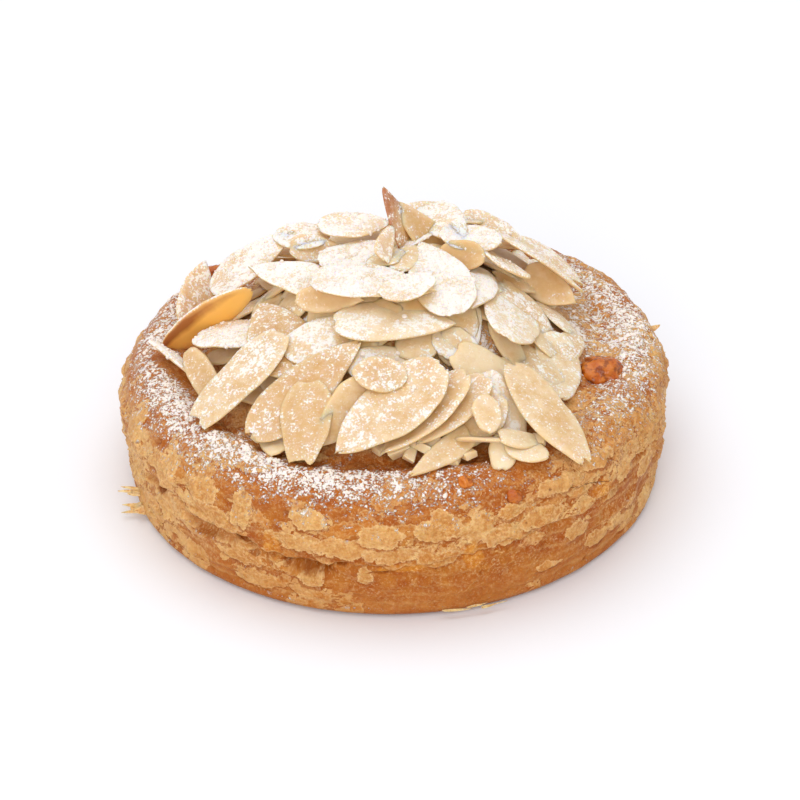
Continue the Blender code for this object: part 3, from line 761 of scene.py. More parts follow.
def profile(gap):
    """Radius and height of each ring, from the foot's middle out, up the side and in to the crown.

    Rings are a gap apart where the crust shows and further apart under the foot and the heap.
    """
    path = [(FOOT_RADIUS * k / FOOT_RINGS, 0.0) for k in range(FOOT_RINGS)]
    fine = [(side_radius(z), z) for z in np.linspace(0.0, RIM_HEIGHT - 0.02 * MM, SIDE_STEPS)]
    fine += [(r, top_height(r)) for r in np.linspace(RIM_RADIUS, 0.5 * MM, TOP_STEPS)]
    since = 0.0
    path.append(fine[0])
    for before, here in zip(fine, fine[1:]):
        since += math.dist(before, here)
        shows = here[1] < RIM_HEIGHT - 1.2 * MM or here[0] > HEAP_EDGE
        if since >= (gap if shows else HEAP_GAP * gap):
            path.append(here)
            since = 0.0
    return path


def crust_point(angle, radius, height, on_top):
    """A point of the crust before its fine relief, where the solid has it."""
    if on_top:
        x = radius * oval(angle) * math.cos(angle)
        y = radius * oval(angle) * math.sin(angle)
        return (x, y, dough_top(x, y))
    fade = min(1.0, height / LAYERS_FADE_LOW)
    fade *= min(1.0, (RIM_HEIGHT - height) / LAYERS_FADE_HIGH + 0.15)
    wide = (radius + fade * layer_relief(angle, height)) * oval(angle)
    x, y = wide * math.cos(angle), wide * math.sin(angle)
    rise = min(1.0, max(0.0, (height - SHOULDER_HEIGHT) / SHOULDER_REACH))
    return (x, y, lean(x, height + rise * TOP_RELIEF * bump(x, y)))


def finished_mesh(mesh, values):
    """A mesh shaded smoothly, with a point attribute for each of the values."""
    mesh.polygons.foreach_set("use_smooth", [True] * len(mesh.polygons))
    for label, found in values.items():
        mesh.attributes.new(label, "FLOAT", "POINT").data.foreach_set("value", found)
    return mesh


def base_crust(settings):
    """The crust's mesh before its fine relief: rings of points round the axis, closed both ends."""
    path = profile(settings.point_gap)
    count = settings.spokes
    angles = [2.0 * math.pi * k / count for k in range(count)]
    top_start = next(k for k, (r, z) in enumerate(path) if z > BELLY_HEIGHT and r <= RIM_RADIUS)
    points = [(0.0, 0.0, 0.0)]
    for k, (radius, height) in enumerate(path[1:], start=1):
        points += [crust_point(angle, radius, height, k >= top_start) for angle in angles]
    rings = len(path) - 1
    points.append((0.0, 0.0, dough_top(0.0, 0.0)))
    crown = len(points) - 1
    faces = []
    for j in range(count):
        after = (j + 1) % count
        faces.append((0, 1 + after, 1 + j))
        last = 1 + (rings - 1) * count
        faces.append((last + j, last + after, crown))
        for ring in range(rings - 1):
            low = 1 + ring * count
            high = low + count
            faces.append((low + j, low + after, high + after, high + j))
    mesh = bpy.data.meshes.new("crust")
    mesh.from_pydata(points, [], faces)
    heights = np.array(points)[:, 2]
    return finished_mesh(mesh, {"relief": np.clip((heights - 0.4 * MM) / (1.6 * MM), 0.0, 1.0)})


# --- the crust's fine relief, which its shape and its colours share -----------------------------


def around(board, angle, middle, spread):
    """1 at a direction round the drum, given in degrees, and falling to 0 over the spread."""
    off = board.node("ShaderNodeMath", {"operation": "WRAP"},
                     {0: angle - math.radians(middle), 1: math.pi, 2: -math.pi})
    off = off / math.radians(spread)
    return board.math("EXPONENT", -1.0 * (off * off))


def on_side(direction, height):
    """A point of the smooth side at a direction in degrees and a height in millimetres."""
    turn, radius = math.radians(direction), side_radius(height * MM)
    return (radius * math.cos(turn), radius * math.sin(turn), height * MM)


def ledge(board, place):
    """How far a place is above the crack's ragged edge and its smooth one, and how open it is."""
    x, y, z = board.parts(place)
    angle = board.math("ARCTAN2", y, x)
    wander = (0.5 * board.math("SINE", 2.0 * angle + 0.6)
              + 0.35 * board.math("SINE", 5.0 * angle + 1.9))
    climb = around(board, angle, math.degrees(CLIMB_ANGLE), math.degrees(CLIMB_SPREAD))
    level = board.upright(place, 0.35)
    ragged = board.noise(level, 4.5 * MM, 5.0, 0.60, 0.31) - 0.5
    eased = board.noise(level, 4.5 * MM, 1.0, 0.50, 0.31) - 0.5
    broad = board.noise(level, 19.0 * MM, 2.0, 0.5, 0.77) - 0.5
    edge = LEDGE_HEIGHT + LEDGE_RISE * (wander + CLIMB_RISE * climb) + 2.5 * MM * broad
    for direction, spread, step in LEDGE_STEPS:
        edge = edge + step * around(board, angle, direction, spread)
    opened = board.noise(board.upright(place, 0.05), 14.0 * MM, 2.0, 0.5, 0.12)
    opened = opened.above(0.50, 0.14) * y.above(0.0, 10.0 * MM)
    for middle, spread, strength in OPENINGS:
        opened = opened + strength * around(board, angle, middle, spread)
    over, opened = z - edge, board.math("MINIMUM", opened, 1.0)
    return over - LEDGE_TORN * ragged, over - LEDGE_TORN * eased, opened


def spot(board, place, direction, height, wide, high, torn):
    """Above 0 inside a ragged oval of the side, and how far up it a place is, in half heights.

    The oval's middle is given in degrees and millimetres, its half sizes in millimetres.
    """
    off = board.vector("SUBTRACT", place, on_side(direction, height))
    turn = math.radians(direction)
    across = board.dot(off, (-math.sin(turn) / (wide * MM), math.cos(turn) / (wide * MM), 0.0))
    up = board.dot(off, (0.0, 0.0, 1.0 / (high * MM)))
    return 1.0 - (across * across + up * up + torn), up


def torn_skins(board, place, layer, bare):
    """One layer of thin torn skins: where they lie, and a number of its own for each skin."""
    size = layer.size
    flat = board.moved(board.upright(place, 1.5), layer.shift)
    drift = board.node("ShaderNodeTexNoise", None, {
        "Vector": flat, "Scale": 1.0 / (0.45 * size), "Detail": 4.0, "Roughness": 0.60}, 1)
    drift = board.vector("SUBTRACT", drift, (0.5, 0.5, 0.5))
    drift = board.vector("MULTIPLY", drift, (1.1 * size,) * 3)
    ragged = {"Vector": board.vector("ADD", flat, drift), "Scale": 1.0 / size}
    own, tint, _ = board.parts(board.node("ShaderNodeTexVoronoi", None, ragged, 1))
    border = board.node("ShaderNodeTexVoronoi", {"feature": "DISTANCE_TO_EDGE"}, ragged)
    worn = board.noise(flat, 0.55 * size, 4.0, 0.58, 2.0)
    level = own + 0.9 * (worn - 0.5) - (bare + layer.less)
    spread = level.above(0.0, 0.05)
    apart = border.above(0.03, 0.03)
    return {"on": spread * apart, "joint_and_shade": spread * (1.0 - apart),
            "raised": level.above(0.04, 0.12) * border.above(0.07, 0.10),
            "inside": level.above(0.09, 0.10) * border.above(0.09, 0.08), "tint": tint}


def regions(board, place, above):
    """Where the side is well baked, low down, left or right, and how bare of skins it is."""
    x, _, z = board.parts(place)
    baked = z.above(21.0 * MM, 5.0 * MM)
    low = 1.0 - z.above(6.0 * MM, 5.0 * MM)
    left = (-1.0 * x).above(28.0 * MM, 24.0 * MM)
    right = x.above(27.0 * MM, 22.0 * MM)
    patch = board.noise(board.upright(place, 1.9), 24.0 * MM, 2.0, 0.5, 0.4)
    bare = 0.50 - 0.10 * (above * (1.0 - baked)) + 0.38 * baked - 1.2 * (patch - 0.5)
    flaky = board.math("MAXIMUM", (-1.0 * x).above(8.0 * MM, 16.0 * MM), right * 0.7)
    bare = bare + 0.45 * ((1.0 - above) * (1.0 - flaky)) - 0.42 * (right * baked)
    for turn, height, reach, fewer in PATCHES:
        off = board.vector("SUBTRACT", place, on_side(turn, height))
        near = board.dot(off, off)
        bare = bare + fewer * board.math("EXPONENT", near * (-1.0 / (reach * MM) ** 2))
    return {"baked": baked, "low": low, "left": left, "right": right, "bare": bare}


def crack_marks(over, past, opened, above):
    """The open crack, the painted shadow that goes on from it under the ledge's edge, and the
    painted highlight on the lip's edge above.
    """
    gap = past + (0.5 * MM + 2.7 * MM * opened)
    crack = (1.0 - past.above(-0.1 * MM, 0.6 * MM)) * gap.above(0.3 * MM, 1.2 * MM) * opened
    return {"crack": crack,
            "ledge_shadow": (1.0 - over.above(0.0, 0.12 * MM)) * over.above(-0.32 * MM, 0.25 * MM),
            "lip_highlight": above * (1.0 - over.above(0.5 * MM, 0.4 * MM))}


def placed_marks(board, place):
    """The skins, glassy spots and hollows that have a place of their own on the side."""
    torn = board.noise(place, 2.8 * MM, 5.0, 0.64, 6.4) - 0.5
    plates = []
    lifted = glazed = hollow = dip = 0.0
    for turn, height, wide, high, pale in PLATES:
        reach, up = spot(board, place, turn, height, wide, high, 4.4 * torn)
        drop = SHADOW_DROP / MM / high
        shadow = reach - (up * (2.0 * drop) + drop * drop)
        plates.append({"on": reach.above(0.0, 0.14), "inside": reach.above(0.30, 0.30),
                       "shadow": shadow.above(0.0, 0.4), "pale": pale})
        lifted = board.math("MAXIMUM", lifted, reach.above(0.15, 0.5))
    for turn, height, wide, high in GLAZED:
        reach, _ = spot(board, place, turn, height, wide, high, 3.0 * torn)
        glazed = board.math("MAXIMUM", glazed, reach.above(0.1, 0.5))
    for turn, height, wide, high, depth in HOLLOWS:
        reach, _ = spot(board, place, turn, height, wide, high, 2.4 * torn)
        hollow = board.math("MAXIMUM", hollow, reach.above(0.0, 0.5))
        dip = board.math("MAXIMUM", dip, reach.above(0.0, 1.4) * (depth * MM))
    return {"plates": plates, "lifted": lifted, "glazed": glazed, "hollow": hollow, "dip": dip}


def strewn_marks(board, place, baked):
    """The blisters, pits and craters, which lie all over the crust."""
    lump = board.cells(board.upright(place, 1.9), 2.1 * MM, "SMOOTH_F1")
    dome = board.node("ShaderNodeMath", {"operation": "MULTIPLY_ADD", "use_clamp": True},
                      {0: lump * lump, 1: -3.6, 2: 1.0})
    blistery = board.noise(place, 8.0 * MM, 2.0, 0.5, 2.2).above(0.50, 0.14)
    hole = board.cells(place, 3.3 * MM, "F1", 0.5)
    pitted = board.noise(place, 7.0 * MM, 2.0, 0.5, 5.2).above(0.5, 0.1)
    crater = board.cells(place, 8.0 * MM, "F1", 1.5)
    return {"blister": dome * (0.35 * blistery + 0.65 * baked),
            "pit": (1.0 - hole.above(0.085, 0.05)) * pitted,
            "crater": 1.0 - crater.above(0.075, 0.03),
            "crater_rim": crater.above(0.08, 0.03) * (1.0 - crater.above(0.12, 0.03))}


def line_marks(board, place, region):
    """The fine ridges where the layers' ends show and the slit on the right."""
    x, y, z = board.parts(place)
    stray = board.noise(board.upright(place, 1.9), 11.0 * MM, 4.0, 0.55, 3.3)
    wave = board.math("SINE", (z + RIDGE_STRAY * stray) * (2.0 * math.pi / RIDGE_GAP))
    layered = board.noise(place, 12.0 * MM, 2.0, 0.5, 4.1).above(0.54, 0.16)
    ends = board.math("MAXIMUM", region["left"], region["right"])
    ridgy = board.math("MAXIMUM", layered * 0.6, ends)
    stray = board.noise(place, 3.0 * MM, 4.0, 0.6, 8.8) - 0.5
    line = z + SLIT_SLOPE * x + SLIT_STRAY * stray - SLIT_HEIGHT
    slit = (line.above(-SLIT_HALF_WIDTH, 0.08 * MM)
            * (1.0 - line.above(SLIT_HALF_WIDTH, 0.08 * MM)))
    near = around(board, board.math("ARCTAN2", y, x), SLIT_DIRECTION, SLIT_REACH).above(0.35, 0.1)
    return {"ridge": wave.above(0.7, 0.8) * ridgy * (1.0 - region["baked"]), "slit": slit * near}


def crust_fields(board, place):
    """What makes up the crust's surface at a place. Its shape and its colours both use these."""
    over, past, opened = ledge(board, place)
    above = over.above(0.0, 0.3 * MM)
    region = regions(board, place, above)
    skins = [torn_skins(board, place, layer, region["bare"]) for layer in SKIN_LAYERS]
    return {"over": over, "opened": opened, "skins": skins, **region,
            **crack_marks(over, past, opened, above), **placed_marks(board, place),
            **strewn_marks(board, place, region["baked"]), **line_marks(board, place, region)}


def crust_height(board, place, lifts):
    """How far the surface stands off its base, in metres, worked out from the fields."""
    field = crust_fields(board, place)
    grainy = board.noise(place, 1.5 * MM, 3.0, 0.6, 5.0) - 0.5
    swell = board.noise(place, 5.0 * MM, 2.0, 0.5, 6.0) - 0.5
    first, second = (skin["raised"] for skin in field["skins"])
    height = lifts["skin_lift"] * first + lifts["second_lift"] * (second * (0.4 + 0.6 * first))
    height = height + lifts["second_lift"] * field["lifted"]
    height = height + lifts["lip_lift"] * field["over"].above(0.1 * MM, 0.7 * MM)
    height = height - lifts["crack_depth"] * field["crack"]
    height = height + lifts["blister_height"] * field["blister"]
    height = height - PIT_DEPTH * field["pit"] - field["dip"]
    height = height - CRATER_DEPTH * field["crater"] + CRATER_RIM_HEIGHT * field["crater_rim"]
    height = height + RIDGE_HEIGHT * field["ridge"] - SLIT_DEPTH * field["slit"]
    return height + GRAIN_RELIEF * grainy + SWELL_RELIEF * swell - RELIEF_SUNK


def geometry_tree(name, inputs):
    """A new geometry tree's board, and a wire from each of its inputs, given as name and kind."""
    tree = bpy.data.node_groups.new(name, "GeometryNodeTree")
    for label, kind in inputs:
        tree.interface.new_socket(label, in_out="INPUT", socket_type="NodeSocket" + kind)
    tree.interface.new_socket("Geometry", in_out="OUTPUT", socket_type="NodeSocketGeometry")
    board = Board(tree)
    given = tree.nodes.new("NodeGroupInput")
    return board, {label: Wire(board, given.outputs[label]) for label, _ in inputs}


def end_tree(board, geometry, material):
    """Ends a geometry tree: instances made real, the material set and the result given out."""
    whole = board.node("GeometryNodeRealizeInstances", None, {"Geometry": geometry})
    dressed = board.node("GeometryNodeSetMaterial", None, {"Geometry": whole, "Material": material})
    result = board.tree.nodes.new("NodeGroupOutput")
    board.tree.links.new(dressed.socket, result.inputs["Geometry"])
    return board.tree


def relief_tree(settings):
    """Geometry nodes that keep each point's rest place and push it out by the crust's relief."""
    names = ("skin_lift", "second_lift", "lip_lift", "crack_depth", "blister_height")
    board, given = geometry_tree("crust_relief", (
        ("Geometry", "Geometry"), *((name, "Float") for name in names), ("Material", "Material")))
    place = board.node("GeometryNodeInputPosition")
    kept = board.node("GeometryNodeStoreNamedAttribute",
                      {"data_type": "FLOAT_VECTOR", "domain": "POINT"},
                      {"Geometry": given["Geometry"], "Name": "rest", "Value": place})
    shown = board.node("GeometryNodeInputNamedAttribute", {"data_type": "FLOAT"},
                       {"Name": "relief"})
    height = crust_height(board, place, given) * shown
    offset = board.scaled(board.node("GeometryNodeInputNormal"), height)
    grown = board.node("GeometryNodeSetPosition", None, {"Geometry": kept, "Offset": offset})
    tree = end_tree(board, grown, given["Material"])
    return tree, {name: getattr(settings, name) for name in names}


def evaluated_piece(name, source, tree, values):
    """Runs a geometry tree on a mesh and returns the result as a plain mesh object."""
    host = bpy.data.objects.new(name + "_host", source)
    bpy.context.scene.collection.objects.link(host)
    grown = host.modifiers.new("grown", "NODES")
    grown.node_group = tree
    for item in tree.interface.items_tree:
        if item.item_type == "SOCKET" and item.in_out == "INPUT" and item.name in values:
            grown[item.identifier] = values[item.name]
    graph = bpy.context.evaluated_depsgraph_get()
    mesh = bpy.data.meshes.new_from_object(host.evaluated_get(graph), depsgraph=graph)
    mesh.name = name
    host.modifiers.remove(grown)
    bpy.data.objects.remove(host, do_unlink=True)
    return new_piece(name, mesh)


def new_piece(name, mesh):
    made = bpy.data.objects.new(name, mesh)
    bpy.context.scene.collection.objects.link(made)
    return made


def on_body(piece):
    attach(piece, BODY)


# --- the flakes' form --------------------------------------------------------------------------


def turned(heading, pitch, roll, size):
    """A matrix that rolls a slice, raises its tip and points it, by angles in degrees."""
    return (Matrix.Rotation(math.radians(heading), size, "Z")
            @ Matrix.Rotation(-math.radians(pitch), size, "Y")
            @ Matrix.Rotation(math.radians(roll), size, "X"))


def half_width(kind, part):
    """Half the width of a slice, from 0 to 0.5, at a share of its length from base to tip."""
    along = kind.cut_base + (kind.cut_tip - kind.cut_base) * part
    widest = kind.base / (kind.base + kind.tip)
    peak = widest**kind.base * (1.0 - widest) ** kind.tip
    return 0.5 * along**kind.base * max(0.0, 1.0 - along) ** kind.tip / peak


def warp(flake, arch, along, across):
    """How far a slice's middle surface is off flat, in metres."""
    bow = arch * flake.length * (1.0 - (2.0 * along - 1.0) ** 2)
    dish = -0.6 * arch * flake.width * (2.0 * across) ** 2
    return (bow + dish) * MM


def slice_point(flake, arch, along, across, side):
    """A point of a slice in its own frame; side is +1 on top and -1 underneath."""
    u = (along - 0.5) * flake.length * MM
    v = across * flake.width * MM
    return Vector((u, v, warp(flake, arch, along, across) + 0.5 * side * FLAKE_THICKNESS))


class Heap:
    """Height of everything laid so far, on a square grid over the pastry."""

    def __init__(self):
        count = int(2 * HEIGHT_HALF_SIDE / HEIGHT_CELL) + 1
        self.grid = np.zeros((count, count))
        for i in range(count):
            for j in range(count):
                x = i * HEIGHT_CELL - HEIGHT_HALF_SIDE
                y = j * HEIGHT_CELL - HEIGHT_HALF_SIDE
                if math.hypot(x, y) < 0.985 * BELLY_RADIUS:
                    self.grid[i, j] = dough_top(x, y)

    def cells(self, points):
        limit = self.grid.shape[0] - 1
        index = np.rint((points[:, :2] + HEIGHT_HALF_SIDE) / HEIGHT_CELL).astype(int)
        index = np.clip(index, 0, limit)
        return index[:, 0], index[:, 1]

    def under(self, points):
        return self.grid[self.cells(points)]

    def raise_to(self, points):
        np.maximum.at(self.grid, self.cells(points), points[:, 2])


def slice_samples(flake, arch, side, along_steps, across_steps):
    """Points spread over one skin of a slice, in its own frame."""
    points = []
    for i in range(along_steps):
        along = (i + 0.5) / along_steps
        half = half_width(flake.kind, along)
        for j in range(across_steps):
            across = half * (2.0 * j / (across_steps - 1) - 1.0)
            points.append(slice_point(flake, arch, along, across, side))
    return np.array(points)


def resting_slopes(flake, arch, heap):
    """Slopes in x and y of the plane that a slice comes to rest in, on three points below it."""
    turn = math.radians(flake.heading)
    local = slice_samples(flake, arch, -1, 7, 4)
    x = flake.x * MM + local[:, 0] * math.cos(turn) - local[:, 1] * math.sin(turn)
    y = flake.y * MM + local[:, 0] * math.sin(turn) + local[:, 1] * math.cos(turn)
    z = heap.under(np.stack([x, y], axis=1)) - local[:, 2]
    first, second, third = np.array(list(combinations(range(len(x)), 3))).T
    ux, uy, uz = x[second] - x[first], y[second] - y[first], z[second] - z[first]
    vx, vy, vz = x[third] - x[first], y[third] - y[first], z[third] - z[first]
    spread = ux * vy - uy * vx
    wide = np.abs(spread) > (1.5 * MM) ** 2
    spread = np.where(wide, spread, 1.0)
    slope_x = (uz * vy - uy * vz) / spread
    slope_y = (ux * vz - uz * vx) / spread
    level = z[first] - slope_x * x[first] - slope_y * y[first]
    highest = np.max(z[None, :] - slope_x[:, None] * x - slope_y[:, None] * y, axis=1)
    clear = wide & (highest <= level + 0.001 * MM)
    middle = level + slope_x * flake.x * MM + slope_y * flake.y * MM
    best = int(np.argmin(np.where(clear, middle, np.inf)))
    return slope_x[best], slope_y[best]


def slice_turn(flake, arch, heap):
    """Rotation of a slice: as it rests on the heap, or as its own tilt says."""
    turn = math.radians(flake.heading)
    if flake.tilt is None:
        slope_x, slope_y = resting_slopes(flake, arch, heap)
        climb = slope_x * math.cos(turn) + slope_y * math.sin(turn)
        along = Vector((math.cos(turn), math.sin(turn), climb)).normalized()
        up = Vector((-slope_x, -slope_y, 1.0)).normalized()
        return Matrix((along, up.cross(along), up)).transposed()
    return turned(flake.heading, *flake.tilt[:2], 3)


def settle(flake, arch, heap):
    """World matrix of a slice that lies on the heap, pressed in a little, or at its own height."""
    turn = slice_turn(flake, arch, heap)
    if flake.tilt is None:
        low = slice_samples(flake, arch, -1, 22, 11) @ np.array(turn).T
        low += np.array([flake.x * MM, flake.y * MM, 0.0])
        height = float(np.max(heap.under(low) - low[:, 2])) - SINK
    else:
        height = flake.tilt[2] * MM
    top = slice_samples(flake, arch, 1, 60, 30) @ np.array(turn).T
    top += np.array([flake.x * MM, flake.y * MM, height])
    heap.raise_to(top)
    return Matrix.Translation((flake.x * MM, flake.y * MM, height)) @ turn.to_4x4()


def back_flakes(draw):
    """Flakes on the side that faces away: rings of them, tips turned outwards."""
    laid = []
    for radius, count, start, end in BACK_ROWS:
        for k in range(count):
            angle = math.radians(start + (end - start) * k / (count - 1))
            x = radius * BACK_DRAWN_IN * math.cos(angle) + draw.uniform(-BACK_JITTER, BACK_JITTER)
            y = radius * BACK_DRAWN_IN * math.sin(angle) + draw.uniform(-BACK_JITTER, BACK_JITTER)
            heading = math.degrees(angle) + draw.uniform(-BACK_SWING, BACK_SWING)
            kind = draw.choice((ALMOND, ALMOND, OVAL, BLUNT))
            long, wide = draw.uniform(*BACK_LENGTH), draw.uniform(*BACK_WIDTH)
            laid.append(Flake(x, y, heading, long, wide, kind))
    return laid


def laid_flakes():
    """Every flake with its arch, its place on the heap and its look, in the order of the solid."""
    draw = random.Random(SEED)
    tastes = random.Random(SEED + 1)
    heap = Heap()
    back = back_flakes(draw)
    back_looks = [Look(tastes.uniform(0.1, 0.7), tastes.uniform(0.3, 0.8)) for _ in back]
    flakes = list(LOWER_FLAKES) + back + list(MIDDLE_FLAKES) + list(UPPER_FLAKES)
    looks = list(LOWER_LOOKS) + back_looks + list(MIDDLE_LOOKS) + list(UPPER_LOOKS)
    laid = []
    for flake, look in zip(flakes, looks):
        arch = draw.uniform(-FLAKE_ARCH, FLAKE_ARCH)
        place = settle(flake, arch, heap)
        new = REFINED.get(len(laid), Refined(0.0, 0.0, 0.0))
        shift = Matrix.Translation(Vector((new.dx, new.dy, new.dz)) * MM)
        flake = flake._replace(length=flake.length * new.long, width=flake.width * new.wide)
        laid.append((flake, arch, shift @ place, look))
    return laid


def ragged(value, seed, scale):
    """Smooth noise about 0 along one direction, different for every seed."""
    return noise.noise(Vector((value * scale, 3.7 * seed, 0.5)))


class Shell:
    """Points, faces and point values of many thin closed slices that end up in one mesh."""

    def __init__(self):
        self.points = []
        self.faces = []
        self.values = {name: [] for name in ALMOND_VALUES}

    def add_slice(self, place, grid_top, grid_low, values):
        """A closed slice at a place, from two grids of points that meet along all four edges."""
        rows, columns = len(grid_top), len(grid_top[0])
        start = len(self.points)
        index = {}
        for side, grid in ((1, grid_top), (-1, grid_low)):
            for i in range(rows):
                for j in range(columns):
                    at_edge = i in (0, rows - 1) or j in (0, columns - 1)
                    if side < 0 and at_edge:
                        index[side, i, j] = index[1, i, j]
                        continue
                    index[side, i, j] = start
                    start += 1
                    self.points.append(place @ grid[i][j])
                    for name, found in values(i, j, side).items():
                        self.values[name].append(found)
        for i in range(rows - 1):
            for j in range(columns - 1):
                corners = ((i, j), (i + 1, j), (i + 1, j + 1), (i, j + 1))
                self.faces.append(tuple(index[1, a, b] for a, b in corners))
                self.faces.append(tuple(index[-1, a, b] for a, b in reversed(corners)))

    def mesh(self, name):
        made = bpy.data.meshes.new(name)
        made.from_pydata(self.points, [], self.faces)
        return finished_mesh(made, self.values)


def slice_grids(flake, arch, seed, rows, columns, thickness, ripple):
    """Top and bottom grids of a slice in its own frame, with uneven outline and rounded edge.

    Also gives each point's distance from the outline, in millimetres.
    """
    blunt_tip = half_width(flake.kind, 1.0) > 0.1
    notch_at = 0.5 * ragged(0.3, seed, 9.0)
    notch_deep = DEEPEST_NOTCH * max(0.0, ragged(0.7, seed, 9.0) + 0.25) if blunt_tip else 0.0
    twist = MOST_TWIST * ragged(0.5, seed, 5.0)
    top, low, margin = [], [], []
    for i in range(rows):
        along = 0.5 - 0.5 * math.cos(math.pi * i / (rows - 1))
        inner = 0.004 + 0.992 * along
        half = half_width(flake.kind, inner)
        ending = max(0.0, 1.0 - abs(2.0 * along - 1.0) ** 9) ** 0.5
        near_tip = max(0.0, (inner - 0.6) / 0.4) ** 2
        near_base = max(0.0, (0.3 - inner) / 0.3) ** 2
        row_top, row_low, row_margin = [], [], []
        for j in range(columns):
            across = math.sin(math.pi * (j / (columns - 1) - 0.5))
            wave_seed, nick_seed = (0.31, 0.43) if across > 0 else (0.77, 0.91)
            uneven = 1.0 + OUTLINE_WAVE * ragged(along, seed + wave_seed, 3.3)
            uneven += OUTLINE_NICK * ragged(along, seed + nick_seed, 9.0)
            v = across * half * uneven
            jag = (END_JAG * ragged(across, seed + 0.13, 1.6)
                   + END_FINE_JAG * ragged(across, seed + 0.57, 4.5))
            notch = notch_deep * math.exp(-(((across - notch_at) / 0.22) ** 2))
            u = inner - 0.5 + near_tip * (jag - notch) - near_base * 0.6 * jag
            wave = ripple * (ragged(along + 0.35 * across, seed, 2.6)
                             + 0.5 * ragged(across - 0.4 * along, seed + 0.2, 3.9))
            twisted = twist * (along - 0.5) * across * flake.width * MM
            middle = warp(flake, arch, inner, v) + wave + twisted
            edge = max(0.0, 1.0 - abs(across) ** 5) ** 0.5 * ending
            x, y = u * flake.length * MM, v * flake.width * MM
            row_top.append(Vector((x, y, middle + 0.5 * thickness * edge)))
            row_low.append(Vector((x, y, middle - 0.5 * thickness * edge)))
            row_margin.append(min((1.0 - abs(across)) * half * flake.width,
                                  min(inner, 1.0 - inner) * flake.length * 0.8))
        top.append(row_top)
        low.append(row_low)
        margin.append(row_margin)
    return top, low, margin


def own_tone(seed):
    """A tone from 0 to 1 that differs from slice to slice."""
    return 0.5 + 0.5 * ragged(0.1, seed, 7.0)


def flakes_mesh(settings, laid):
    """All almond flakes as one mesh, with the values that their colours are worked out from."""
    shell = Shell()
    for number, (flake, arch, place, look) in enumerate(laid):
        seed = 1.37 * number + 0.5
        top, low, margin = slice_grids(flake, arch, seed, settings.rows, settings.columns,
                                       FLAKE_THICKNESS, settings.ripple)
        tone = own_tone(seed)

        def values(i, j, side):
            along = i / (settings.rows - 1)
            across = 2.0 * j / (settings.columns - 1) - 1.0
            burn, sugared = 0.0, look.dust
            if look.amber > 0.5:
                sugared = 1.0 if across > 0.8 else 0.0
                streak = math.exp(-(((across - 0.45) / 0.34) ** 2))
                burn = 0.95 * streak * min(1.0, 1.6 * (1.0 - along))
            if number == SCORCHED:
                burn = 0.22 + 1.1 * max(0.0, along - 0.45) + 0.5 * across * across
            if number == BROWN_TIPPED:
                burn = max(0.0, 6.0 * (along - 0.88)) * 0.8
            return {"margin": margin[i][j], "toast": look.toast, "tone": tone, "amber": look.amber,
                    "sugared": sugared if side > 0 else 0.6 * sugared, "burn": burn}

        shell.add_slice(place, top, low, values)
    return shell.mesh("almond_flakes")


def bit_place(bit):
    """World matrix of a bit: rolled, pitched and turned, then put in its place."""
    place = Matrix.Translation((bit.x * MM, bit.y * MM, bit.z * MM))
    return place @ turned(bit.heading, bit.pitch, bit.roll, 4)


def bits_mesh(name, bits, kind, rows, columns, ripple, sugared):
    """Small broken bits or slivers as one mesh."""
    shell = Shell()
    for number, bit in enumerate(bits):
        flake = Flake(bit.x, bit.y, bit.heading, bit.length, bit.width, kind)
        seed = 2.11 * number + 9.0
        top, low, margin = slice_grids(flake, BIT_ARCH, seed, rows, columns, bit.thick * MM,
                                       ripple)
        tone = own_tone(seed)

        def values(i, j, side):
            return {"margin": margin[i][j], "toast": 0.2 + 0.3 * tone, "tone": tone,
                    "sugared": sugared, "amber": 0.0, "burn": 0.0}

        shell.add_slice(bit_place(bit), top, low, values)
    return shell.mesh(name)


def built_mesh(name, build):
    """A mesh from one that has been built up, with its faces pointing outwards."""
    mesh = bpy.data.meshes.new(name)
    bmesh.ops.recalc_face_normals(build, faces=build.faces[:])
    build.to_mesh(mesh)
    build.free()
    return mesh


def chunk_mesh(name, chunks, draw):
    """Chopped bits of almond with flat broken faces, as one mesh with the flakes' values."""
    build = bmesh.new()
    for chunk in chunks:
        place = bit_place(chunk)
        corners = bmesh.ops.create_cube(build, size=1.0)["verts"]
        for vert in corners:
            vert.co = Vector((vert.co.x * chunk.length * draw.uniform(0.6, 1.05),
                              vert.co.y * chunk.width * draw.uniform(0.6, 1.1),
                              vert.co.z * chunk.thick * draw.uniform(0.6, 1.1))) * MM
        faces = list({face for vert in corners for face in vert.link_faces})
        edges = list({edge for vert in corners for edge in vert.link_edges})
        bent = bmesh.ops.bevel(build, geom=corners + edges, offset=CHUNK_BEVEL, segments=3,
                               profile=0.6, affect="EDGES")["faces"]
        bent += [face for face in faces if face.is_valid]
        for vert in {vert for face in bent for vert in face.verts}:
            vert.co = place @ vert.co
    mesh = built_mesh(name, build)
    return finished_mesh(mesh, {label: [value] * len(mesh.vertices)
                                for label, value in zip(ALMOND_VALUES, CHUNK_LOOK)})


